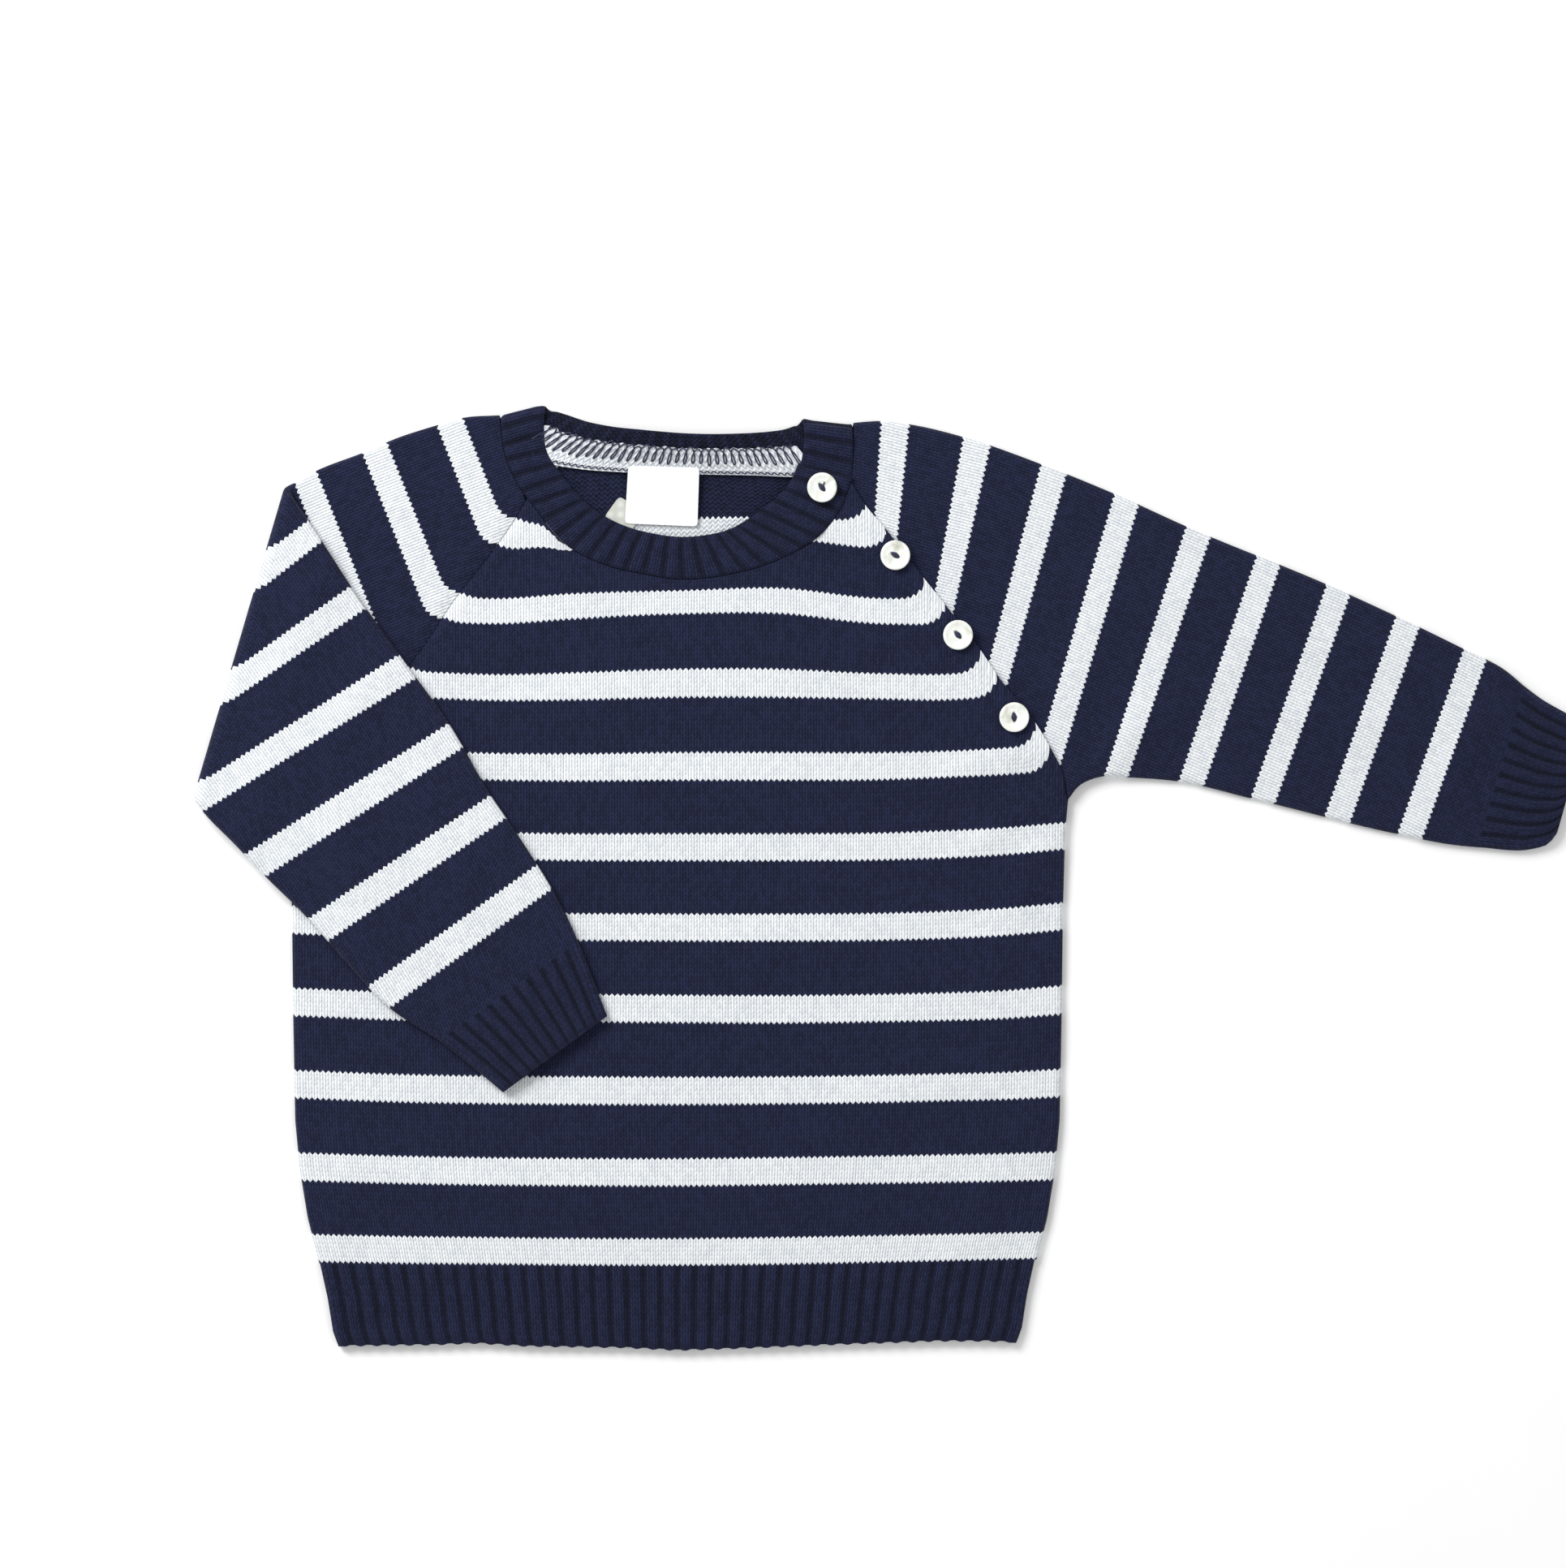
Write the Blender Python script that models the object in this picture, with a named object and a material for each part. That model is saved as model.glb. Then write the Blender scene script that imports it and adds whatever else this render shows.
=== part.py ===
"""A child's knitted raglan sweater, laid on its back on a flat surface, as separate knitted pieces.

Sizes are in millimetres, written as they measure on the garment laid flat: x runs to the right from the
middle of the front, y runs from the hem to the neck, and z is height above the surface. The wearer's right
sleeve is modelled flat and then turned over about its fold, so that it lies on the front.
"""

import math

import bmesh
import bpy
import numpy as np
from mathutils import Matrix

MM = 0.001

WALL = 1.6  # thickness of the knitted cloth
AIR = 0.6  # space between the front and the back where they lie on each other
SEAM_GAP = 0.3  # the pieces stand this far apart at a seam
LAYER = 2 * WALL + AIR  # the two walls together
EDGE_R = LAYER / 2  # a folded side edge is a half round of this radius
EDGE_IN = AIR / 2  # and this is its inside radius
# The points of a side edge, as angles round it from the flat: the outer face, and the inner one
OUT_TURN = np.radians([85.5, 45, 0])
IN_TURN = np.radians([60, 45, 0])

LAP = 11.0  # the sleeve reaches this far under the buttoned edge of the front
LAP_CORNER = (60.0, 308.5)  # where the lap meets the neck
LAP_TURN = 12.0  # the lap's edge makes for that corner from this far below it
LAP_FROM_Y = (224.0, 236.0)  # the lap grows from nothing to its full width between these heights
LIFT = WALL + SEAM_GAP  # the front lies this much higher over the lap
LIFT_RAMP = (13.5, 22.0)  # and comes down again between these distances from its edge
LIFT_FROM_Y = (207.0, 221.0)

RIB_HIGH = 0.5  # how far a rib stands out of the wall
RIB_CLEAR = 2.4  # the ribs stop this far from a folded side edge
HEM_RIBS = 41
CUFF_RIBS = 10
NECK_RIBS = 50
# One rib of 2 plain stitches and 1 purl: place across one repeat, and height as a share of RIB_HIGH
RIB_SHAPE = ((0.0, 0.0), (0.13, 0.0), (0.26, 1.0), (0.87, 1.0))

BUTTON_D = 11.0
BUTTON_HIGH = 2.2
HOLE_D = 1.3
HOLE_APART = 2.7

ARMPIT_Y = 202.5
HEM_SEAM_Y = 30.3
HEM_RISE = 1.8  # the line above the hem's rib rises this much to both sides
HEM_TILT = 0.9  # and this much more to the right than to the left

# Half the body's width at each height
SIDE = ((0, 124.8), (6, 127.2), (18, 129.2), (31, 132.2), (48, 136.6), (66, 139.5), (84, 141.2),
        (120, 141.9), (160, 142.4), (190, 143.2), (ARMPIT_Y, 144.3))
# The hem's lower edge: x, y
HEM_EDGE = ((-125, 0.9), (-92, 1.3), (-74, 1.9), (-55, 0.8), (-20, 0.3), (0, -0.7), (25, 0.1), (60, 1.5),
            (95, 2.7), (115, 2.7), (125, 2.2))

# The line where the neckband is joined on, and the band's free edge, round from the buttoned end, past the
# front and the left of the picture, along the back and on to the end under the button.
# Each row: seam x, y, z, edge x, y, z
FRONT_Z = 3.6
OVER_Z = FRONT_Z + LIFT
BACK_Z = 1.8
FOLD_Z = (FRONT_Z + BACK_Z) / 2
BAND = (
    (64.4, 321.6, OVER_Z, 44.7, 326.4, OVER_Z),
    (60.6, 310.5, OVER_Z, 40.8, 318.3, OVER_Z),
    (54.9, 302.4, OVER_Z - 0.4, 34.8, 312.3, OVER_Z - 0.4),
    (48.9, 297.3, FRONT_Z + 0.4, 27.9, 307.2, FRONT_Z + 0.4),
    (31.8, 288.9, FRONT_Z, 18.0, 301.8, FRONT_Z),
    (17.1, 285.3, FRONT_Z, 9.9, 300.0, FRONT_Z),
    (2.1, 283.8, FRONT_Z, 1.5, 299.4, FRONT_Z),
    (-12.9, 285.9, FRONT_Z, -8.7, 300.6, FRONT_Z),
    (-26.7, 289.2, FRONT_Z, -18.9, 303.3, FRONT_Z),
    (-40.8, 296.4, FRONT_Z, -28.5, 308.1, FRONT_Z),
    (-52.5, 310.2, FRONT_Z, -37.5, 315.9, FRONT_Z),
    (-58.5, 318.3, FRONT_Z, -43.5, 323.4, FRONT_Z),
    (-62.7, 327.0, FRONT_Z, -47.7, 330.0, FRONT_Z),
    (-64.5, 334.2, FRONT_Z, -49.2, 339.0, FRONT_Z),
    (-65.1, 341.6, FRONT_Z, -48.9, 345.8, FRONT_Z),
    (-65.1, 343.0, FOLD_Z, -48.6, 347.2, FOLD_Z),
    (-64.9, 341.2, BACK_Z, -47.4, 346.2, BACK_Z),
    (-61.6, 335.4, BACK_Z, -44.4, 345.6, 1.6),
    (-57.0, 331.4, BACK_Z, -40.5, 344.4, 2.1),
    (-50.1, 328.2, BACK_Z, -34.5, 342.3, 3.6),
    (-37.5, 325.8, BACK_Z, -25.5, 340.2, 5.6),
    (-19.5, 324.6, BACK_Z, -13.5, 338.7, 7.4),
    (4.5, 324.0, BACK_Z, 4.5, 337.2, 8.0),
    (28.5, 323.4, BACK_Z, 21.0, 337.2, 7.2),
    (45.0, 322.5, BACK_Z, 33.0, 338.1, 4.8),
    (52.5, 322.6, BACK_Z, 39.0, 339.0, 2.6),
    (59.6, 328.4, BACK_Z, 42.6, 340.2, 1.7),
    (63.8, 338.6, BACK_Z, 45.0, 341.2, BACK_Z),
    (64.4, 340.4, FOLD_Z, 46.2, 342.4, FOLD_Z),
    (64.6, 338.6, FRONT_Z, 46.6, 340.8, FRONT_Z),
    (64.6, 325.5, FRONT_Z, 45.9, 330.0, FRONT_Z),
    (62.6, 314.8, FRONT_Z, 42.2, 319.9, FRONT_Z),
)
LEFT_FOLD_ROW = 15  # the rows of the table where the band turns over at each shoulder
RIGHT_FOLD_ROW = 28
SEWN_ROW = 10.45  # and those where the raglans meet the neck: the front's, then the back's
OPEN_ROW = 0.2
BACK_ROWS = (19, 25)
ROW_GAP = 0.04  # a seam's gap along the neck, in rows of the table

# Raglan lines, from the armpit to the neck: x, y
OPEN_RAGLAN = ((144.3, ARMPIT_Y), (142.8, 211.0), (138.0, 221.0), (131.7, 231.6), (118.8, 247.5),
               (111.3, 258.6), (100.5, 272.4), (89.7, 285.9), (75.9, 303.6), (69.0, 311.7), (64.4, 319.2))
SEWN_RAGLAN = ((-144.3, ARMPIT_Y), (-134.0, 213.0), (-112.0, 237.0), (-94.5, 258.0), (-82.5, 276.0),
               (-66.0, 297.3), (-59.6, 306.6), (-55.5, 314.1))
BACK_OPEN_RAGLAN = ((144.3, ARMPIT_Y), (131.0, 219.0), (88.0, 275.0), (52.5, 322.6))
BACK_SEWN_RAGLAN = ((-144.3, ARMPIT_Y), (-131.0, 219.0), (-86.0, 279.0), (-50.1, 328.2))

# The stretched sleeve: its top edge from the shoulder, and its underarm edge from the armpit
LEFT_TOP = ((65.1, 341.6), (75.0, 342.3), (85.5, 341.1), (105.9, 336.3), (135.0, 326.1), (161.7, 315.3),
            (188.1, 303.3), (239.7, 282.0), (290.7, 258.0), (305.4, 250.5), (312.6, 244.5))
LEFT_UNDER = ((144.3, ARMPIT_Y), (148.5, 207.6), (156.6, 210.9), (166.5, 210.6), (185.1, 209.1),
              (212.1, 202.8), (266.4, 189.6), (286.5, 185.7), (295.2, 184.8))
LEFT_CUFF_TOP = ((312.6, 244.5), (319.5, 239.4), (328.5, 234.3), (336.0, 230.1))
LEFT_CUFF_UNDER = ((295.2, 184.8), (315.9, 184.2), (321.6, 186.0), (324.6, 189.6))
BICEP_TOP_X = 184.0  # the sleeve's cap ends at the line between these two places on its edges
BICEP_UNDER_X = 160.0

# The folded sleeve: up to its fold as it lies, and beyond it as it lies on the front
FOLD_EDGE = (-148.5, 306.0)  # a point on the fold's outer edge
FOLD_LEAN = 0.294  # the fold moves left by this share of each millimetre down
RIGHT_TOP = ((-65.8, 344.4), (-79.5, 343.4), (-88.5, 340.8), (-103.5, 336.0), (-116.1, 330.6),
             (-134.4, 323.4), (-142.8, 318.6))
RIGHT_UNDER = ((-144.3, ARMPIT_Y), (-148.5, 207.2), (-156.6, 209.6), (-166.5, 208.2))
LAID_TOP = ((-136.2, 305.7), (-129.9, 296.1), (-120.3, 281.1), (-102.0, 255.3), (-83.7, 229.8),
            (-68.7, 204.0), (-58.5, 189.0), (-40.5, 159.0), (-36.6, 150.3))
LAID_UNDER = ((-174.9, 198.0), (-163.2, 186.0), (-151.8, 174.0), (-138.0, 160.5), (-121.5, 141.9),
              (-106.5, 126.0), (-87.9, 113.7))
LAID_CUFF_TOP = ((-36.6, 150.3), (-31.5, 137.4), (-25.8, 122.7))
LAID_CUFF_UNDER = ((-87.9, 113.7), (-76.0, 104.4), (-64.2, 94.5))

# Button centres, with the height of the cloth under each, and the lie of the two holes in degrees
BUTTONS = ((53.4, 317.4, OVER_Z + WALL / 2 + RIB_HIGH, 128), (80.4, 292.5, LAYER + LIFT, 150),
           (103.5, 263.1, LAYER + LIFT, 132), (124.2, 232.8, LAYER + LIFT, 96))

# Labels inside the back of the neck: low x, low y, high x, high y, low z, high z
NECK_LABEL = (-18.3, 304.4, 7.8, 322.6, 2.7, 3.3)
CARE_LABEL = (-25.2, 305.2, -12.0, 313.6, 1.9, 2.4)

# How finely the pieces are divided
BODY_COLUMNS = 24
BODY_LEVELS = (HEM_SEAM_Y, 42, 58, 80, 110, 145, 175, 190, ARMPIT_Y)
CAP_LEVELS = (0, 0.05, 0.12, 0.24, 0.38, 0.52, 0.66, 0.8, 0.91, 1.0)
HEM_LEVELS = (0, 0.5, 1)
NECK_COLUMNS = 5
CAP_RISE = (0, 0.12, 0.3, 0.52, 0.76, 1)
ARM_LEVELS = (0, 0.2, 0.4, 0.6, 0.8, 1)
CUFF_LEVELS = (0, 0.5, 1)
FOLD_MARGIN = 1.5
JOIN_CLEAR = 0.5  # points nearer than this to the place where a line is cut are left out
FOLD_STEPS = 9
BUTTON_SIDES = 20
HOLE_SIDES = 8

NAVY = (0.022, 0.027, 0.066)
SHELL = (0.80, 0.80, 0.74)
TAPE = (0.86, 0.87, 0.87)


def ramp(x, low, high):
    """0 below low, 1 above high, and a smooth rise between."""
    t = np.clip((x - low) / (high - low), 0, 1)
    return t * t * (3 - 2 * t)


def distances(points):
    """How far along a chain of points each one lies."""
    steps = np.linalg.norm(np.diff(points, axis=0), axis=1)
    return np.concatenate([[0], np.cumsum(steps)])


def smooth(points, knots, at):
    """The smooth curve that passes each point at its knot, read at some places along it.

    Between neighbours it is a cubic whose slope at a point comes from the points on both its sides.
    """
    slopes = np.gradient(points, knots, axis=0)
    i = np.clip(np.searchsorted(knots, at, side="right") - 1, 0, len(knots) - 2)
    step = (knots[i + 1] - knots[i])[:, None]
    t = (at - knots[i])[:, None] / step
    return ((1 + 2 * t) * (1 - t) ** 2 * points[i] + t * (1 - t) ** 2 * step * slopes[i]
            + t * t * (3 - 2 * t) * points[i + 1] - t * t * (1 - t) * step * slopes[i + 1])


def curve(points, count=80):
    """Evenly spaced points on the smooth curve through a table's rows."""
    points = np.array(points, float)
    knots = distances(points)
    return smooth(points, knots, np.linspace(0, knots[-1], count))


def along(points, shares):
    """Points at some shares of the length of a chain of points."""
    far = distances(points)
    at = np.asarray(shares) * far[-1]
    return np.stack([np.interp(at, far, column) for column in points.T], axis=1)


def beside(points, offset):
    """The same chain moved sideways in plan, to its right for a positive offset."""
    way = np.gradient(points, axis=0)
    way /= np.linalg.norm(way, axis=1, keepdims=True)
    return points + np.reshape(offset, (-1, 1)) * np.stack([way[:, 1], -way[:, 0]], axis=1)


def patch(first_row, last_row, first_side, last_side):
    """Rows of points that fill four edges.

    Each is the blend of the two rows, plus the blend of the two sides, less that of the four corners.
    """
    one_row = distances(first_row)
    other_row = distances(last_row)
    u = (one_row / one_row[-1] + other_row / other_row[-1]) / 2
    one_side = distances(first_side)
    other_side = distances(last_side)
    v = (one_side / one_side[-1] + other_side / other_side[-1]) / 2
    u = u[None, :, None]
    v = v[:, None, None]
    rows = (1 - v) * first_row[None] + v * last_row[None]
    sides = (1 - u) * first_side[:, None] + u * last_side[:, None]
    corners = ((1 - u) * (1 - v) * first_row[0] + u * (1 - v) * first_row[-1]
               + (1 - u) * v * last_row[0] + u * v * last_row[-1])
    return rows + sides - corners


def wall(plan, turned=1.0, raised=0.0, ribs=0.0):
    """The outer and inner points of a front wall, from its rows of points in plan.

    Beside each side edge a row gets two more points, so that the edge is a quarter round. Turned is the
    share of that round for each row: 1 at a side edge, 0 at a cut edge. Raised lifts both faces, and ribs
    only the outer one; they fit the rows with their added points.
    """
    turned = np.broadcast_to(turned, len(plan))[:, None]
    out_inset = EDGE_R * (1 - np.sin(OUT_TURN))
    in_inset = out_inset + turned * (EDGE_R - EDGE_IN * np.sin(IN_TURN) - out_inset)

    def rounded(edge, inner):
        way = inner - edge
        way = (way / np.linalg.norm(way, axis=1, keepdims=True))[:, None]
        return edge[:, None] + way * out_inset[None, :, None], edge[:, None] + way * in_inset[..., None]

    first = rounded(plan[:, 0], plan[:, 1])
    last = rounded(plan[:, -1], plan[:, -2])
    flat = np.zeros(plan.shape[1] - 2)
    out_drop = EDGE_R * (1 - np.cos(OUT_TURN))
    in_drop = EDGE_IN * (1 - np.cos(IN_TURN))
    faces = []
    for k, drop in enumerate((out_drop, in_drop)):
        points = np.concatenate([first[k], plan[:, 1:-1], last[k][:, ::-1]], axis=1)
        level = (LAYER, LAYER - WALL)[k]
        high = level - turned * np.concatenate([drop, flat, drop[::-1]]) + raised + (ribs, 0)[k]
        faces.append(np.dstack([points, high]))
    return faces


def as_back(faces):
    """The same wall as a back: its height is counted down from the top of both layers."""
    return [points * (1, 1, -1) + (0, 0, LAYER) for points in faces]


def joined_round(front, back):
    """A tube's outer and inner points: out along its front and home along its back."""
    return [np.concatenate([f, b[:, ::-1]], axis=1) for f, b in zip(front, back)]


def solid(faces, tube=False):
    """Vertices and faces of the closed body between an outer and an inner grid."""
    rows, columns = faces[0].shape[:2]
    at = np.arange(rows * columns).reshape(rows, columns)
    if tube:
        at = np.concatenate([at, at[:, :1]], axis=1)
    quads = np.stack([at[:-1, :-1], at[:-1, 1:], at[1:, 1:], at[1:, :-1]], axis=-1).reshape(-1, 4)
    far = rows * columns
    made = [quads, quads[:, ::-1] + far]
    borders = [at[0], at[-1, ::-1]]
    if not tube:
        borders += [at[::-1, 0], at[:, -1]]
    for edge in borders:
        made.append(np.stack([edge[1:], edge[:-1], edge[:-1] + far, edge[1:] + far], axis=-1))
    return np.concatenate([points.reshape(-1, 3) for points in faces]), np.concatenate(made)


def rib_places(count):
    """Shares of the way across a rib band where its points lie, and the height there."""
    at = (np.arange(count)[:, None] + np.array([place for place, _ in RIB_SHAPE])) / count
    high = np.tile([height for _, height in RIB_SHAPE], count)
    return np.append(at.ravel(), 1.0), np.append(high, 0.0)


def ribbed_row(first, last, count):
    """A row across a rib band: its two edges, and the rib places between them, clear of the round edges."""
    places, _ = rib_places(count)
    inset = RIB_CLEAR / np.linalg.norm(last - first)
    shares = np.concatenate([[0], inset + places * (1 - 2 * inset), [1]])
    return first + shares[:, None] * (last - first)


def ribbed_height(count):
    """Rib heights for a row that wall has given its added points."""
    _, high = rib_places(count)
    return RIB_HIGH * np.concatenate([np.zeros(3), high, np.zeros(3)])


# The body


def half_width(y):
    return np.interp(y, *np.array(SIDE).T)


def hem_seam(x):
    """The height of the line where the rib meets the panel: it rises a little to the sides."""
    share = x / half_width(HEM_SEAM_Y)
    return HEM_SEAM_Y + HEM_RISE * share**2 + HEM_TILT * share


def band_lines(at=None, rows=None):
    """The seam and the free edge of the band, at places along it or at rows of its table."""
    table = np.array(BAND)
    seam, edge = table[:, :3], table[:, 3:]
    knots = (distances(seam) + distances(edge)) / 2
    if at is None:
        at = np.interp(rows, np.arange(len(table)), knots)
    return smooth(seam, knots, at), smooth(edge, knots, at)


def neck_seam(first, last, count=60):
    """The line round the neck between two rows of the band's table, in plan."""
    return band_lines(rows=np.linspace(first, last, count))[0][:, :2]


def body_panel(left, right, neck):
    """A front or back in plan, from the hem rib to the neck, and how far the edge of each row is turned."""
    across = np.linspace(-1, 1, BODY_COLUMNS)
    y = hem_seam(across * half_width(HEM_SEAM_Y)) + SEAM_GAP / 2
    start = np.stack([across * half_width(HEM_SEAM_Y + 1), y], axis=1)
    sides = np.array([(half_width(y), y) for y in BODY_LEVELS])
    sides[0] = (start[-1, 0], start[-1, 1])
    armpit = np.stack([across * half_width(ARMPIT_Y), np.full(BODY_COLUMNS, ARMPIT_Y)], axis=1)
    first_side = sides * (-1, 1)
    first_side[0] = start[0]
    lower = patch(start, armpit, first_side, sides)
    upper = patch(armpit, along(neck, (across + 1) / 2), along(left, CAP_LEVELS), along(right, CAP_LEVELS))
    turned = np.concatenate([np.ones(len(lower)), (0.5, 0.1), np.zeros(len(upper) - 3)])
    return np.concatenate([lower, upper[1:]]), turned


def lift_at(points):
    """How far the front is raised over the lap, by the distance from its buttoned edge."""
    gap = np.linalg.norm(points[..., None, :2] - curve(OPEN_RAGLAN), axis=-1).min(axis=-1)
    return LIFT * (1 - ramp(gap, *LIFT_RAMP)) * ramp(points[..., 1], *LIFT_FROM_Y)


def front_panel():
    left = beside(curve(SEWN_RAGLAN), SEAM_GAP / 2)
    right = beside(curve(OPEN_RAGLAN), -SEAM_GAP / 2)
    neck = beside(neck_seam(SEWN_ROW, OPEN_ROW), SEAM_GAP)
    left[-1], right[-1] = neck[0], neck[-1]
    plan, turned = body_panel(left, right, neck)
    faces = wall(plan, turned)
    for points in faces:
        points[..., 2] += lift_at(points)
    return solid(faces)


def back_panel():
    left = beside(curve(BACK_SEWN_RAGLAN), SEAM_GAP / 2)
    right = beside(curve(BACK_OPEN_RAGLAN), -SEAM_GAP / 2)
    neck = beside(neck_seam(*BACK_ROWS), SEAM_GAP)
    left[-1], right[-1] = neck[0], neck[-1]
    return solid(as_back(wall(*body_panel(left, right, neck))))


def hem_rib(front):
    """A hem rib: raised ribs on the front, and a plain face on the back, which rests on the surface."""
    count = HEM_RIBS if front else 4
    rows = []
    for level in HEM_LEVELS:
        seam_x = half_width(HEM_SEAM_Y)
        edge_x = half_width(0)
        x = half_width(HEM_SEAM_Y * (1 - level))
        row = ribbed_row(np.array([-x, 0.0]), np.array([x, 0.0]), count)
        top = hem_seam(row[:, 0] / x * seam_x) - SEAM_GAP / 2
        low = np.interp(row[:, 0] / x * edge_x, *np.array(HEM_EDGE).T)
        row[:, 1] = top * (1 - level) + low * level
        rows.append(row)
    faces = wall(np.array(rows), ribs=ribbed_height(count) if front else 0)
    return solid(faces if front else as_back(faces))


# The sleeves


def cap_line(raglan, neck):
    """The line round a sleeve's cap on one side: up the raglan from the armpit, then along the neck."""
    return np.concatenate([along(raglan, CAP_LEVELS), along(neck, np.linspace(0, 1, NECK_COLUMNS))[1:]])


def sleeve_side(cap, under, top, rows):
    """One side of a sleeve in plan: the cap, up to the first row, then the rows.

    Each row is a straight line between two points, and its points keep the shares of the cap's.
    """
    shares = distances(cap) / distances(cap)[-1]
    lines = [first + shares[:, None] * (last - first) for first, last in rows]
    first_side = along(np.array(under), CAP_RISE)
    last_side = along(np.array(top), CAP_RISE)
    grid = patch(cap, lines[0], first_side, last_side)
    return np.concatenate([grid, np.array(lines[1:])])


def upto(points, wanted, values):
    """The part of a chain up to where a value that grows along it reaches the one wanted."""
    last = [np.interp(wanted, values, column) for column in points.T]
    return np.concatenate([points[values < wanted - JOIN_CLEAR], [last]])


def beyond(points, wanted, values):
    first = [np.interp(wanted, values, column) for column in points.T]
    return np.concatenate([[first], points[values > wanted + JOIN_CLEAR]])


def sleeve(front_cap, back_cap, under, top, rows):
    sides = [wall(sleeve_side(cap, under, top, rows)) for cap in (front_cap, back_cap)]
    return joined_round(sides[0], as_back(sides[1]))


def cuff(under, top, front_ribs):
    """A cuff between two edges, ribbed on the side that shows and plain where it lies on something."""
    shares = np.array(CUFF_LEVELS)
    start = SEAM_GAP / distances(top)[-1]
    shares = start + shares * (1 - start)
    ends = list(zip(along(under, shares), along(top, shares)))
    sides = []
    for ribbed in (front_ribs, not front_ribs):
        count = CUFF_RIBS if ribbed else 2
        plan = np.array([ribbed_row(first, last, count) for first, last in ends])
        sides.append(wall(plan, ribs=ribbed_height(count) if ribbed else 0))
    return joined_round(sides[0], as_back(sides[1]))


def left_sleeve():
    line = curve(OPEN_RAGLAN)
    reach = SEAM_GAP / 2 - (LAP + SEAM_GAP / 2) * ramp(line[:, 1], *LAP_FROM_Y)
    lap = beside(line, reach)
    lap = np.concatenate([lap[lap[:, 1] < LAP_CORNER[1] - LAP_TURN], [LAP_CORNER]])
    neck = beside(neck_seam(len(BAND) - 1, RIGHT_FOLD_ROW + 1), SEAM_GAP)
    neck = np.concatenate([[LAP_CORNER], neck, [LEFT_TOP[0]]])
    back_neck = beside(neck_seam(BACK_ROWS[1] + ROW_GAP, RIGHT_FOLD_ROW - 1), SEAM_GAP)
    back_neck = np.concatenate([back_neck, [LEFT_TOP[0]]])
    back_line = beside(curve(BACK_OPEN_RAGLAN), SEAM_GAP / 2)
    back_line[-1] = back_neck[0]
    under, top = curve(LEFT_UNDER), curve(LEFT_TOP)
    cap_under = upto(under, BICEP_UNDER_X, under[:, 0])
    cap_top = upto(top, BICEP_TOP_X, top[:, 0])
    arm_under = along(beyond(under, BICEP_UNDER_X, under[:, 0]), ARM_LEVELS)
    arm_top = along(beyond(top, BICEP_TOP_X, top[:, 0]), ARM_LEVELS)
    made = sleeve(cap_line(lap, neck), cap_line(back_line, back_neck), cap_under, cap_top,
                  list(zip(arm_under, arm_top)))
    return solid(made, tube=True)


def left_cuff():
    return solid(cuff(curve(LEFT_CUFF_UNDER), curve(LEFT_CUFF_TOP), True), tube=True)


# The fold of the other sleeve

FOLD_HIGH = LAYER + SEAM_GAP / 2  # height of the line that the sleeve turns about
FOLD_R = 2.0  # radius where the turned cloth keeps its length
FOLD_IN = np.array([1, -FOLD_LEAN]) / math.hypot(1, FOLD_LEAN)  # from the fold towards the body
FOLD_LINE = np.array(FOLD_EDGE) + FOLD_IN * FOLD_HIGH


def past_fold(points):
    return (FOLD_LINE - points[..., :2]) @ FOLD_IN


def unfolded(table):
    """Where points that lie on the front were before the sleeve was turned over."""
    points = np.array(table, float)
    return points + FOLD_IN * (2 * past_fold(points) - math.pi * FOLD_R)[:, None]


def turned_over(points):
    """The sleeve turned about its fold.

    A point past the fold goes round by its distance over the fold's radius, and beyond half a turn it lies
    upside down on the first layer, as far back as it went past.
    """
    past = past_fold(points)
    reach = FOLD_HIGH - points[..., 2]
    angle = np.clip(past / FOLD_R, 0, math.pi)
    over = np.maximum(past - math.pi * FOLD_R, 0)
    shown = np.where(past > 0, reach * np.sin(angle) - over, past)
    high = np.where(past > 0, FOLD_HIGH - reach * np.cos(angle), points[..., 2])
    plan = points[..., :2] + FOLD_IN * (past - shown)[..., None]
    return np.dstack([plan, high])


def right_sleeve():
    line = beside(curve(SEWN_RAGLAN), -SEAM_GAP / 2)
    neck = beside(neck_seam(SEWN_ROW + ROW_GAP, LEFT_FOLD_ROW - 1), -SEAM_GAP)
    neck = np.concatenate([neck, [RIGHT_TOP[0]]])
    line[-1] = neck[0]
    back_line = beside(curve(BACK_SEWN_RAGLAN), -SEAM_GAP / 2)
    back_neck = beside(neck_seam(BACK_ROWS[0] - ROW_GAP, LEFT_FOLD_ROW + 1), -SEAM_GAP)
    back_neck = np.concatenate([back_neck, [RIGHT_TOP[0]]])
    back_line[-1] = back_neck[0]
    under = curve(np.concatenate([RIGHT_UNDER, unfolded(LAID_UNDER)]), 160)
    top = curve(np.concatenate([RIGHT_TOP, unfolded(LAID_TOP)]), 160)
    start, end = -FOLD_MARGIN, math.pi * FOLD_R + FOLD_MARGIN
    turns = np.concatenate([[start], np.linspace(0, math.pi * FOLD_R, FOLD_STEPS), [end]])
    rows = []
    for past in turns:
        ends = [[np.interp(past, past_fold(side), column) for column in side.T] for side in (under, top)]
        rows.append(np.array(ends))
    arm_under = along(beyond(under, end, past_fold(under)), ARM_LEVELS[1:])
    arm_top = along(beyond(top, end, past_fold(top)), ARM_LEVELS[1:])
    rows += list(zip(arm_under, arm_top))
    made = sleeve(cap_line(line, neck), cap_line(back_line, back_neck), upto(under, start, past_fold(under)),
                  upto(top, start, past_fold(top)), rows)
    return solid([turned_over(points) for points in made], tube=True)


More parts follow.
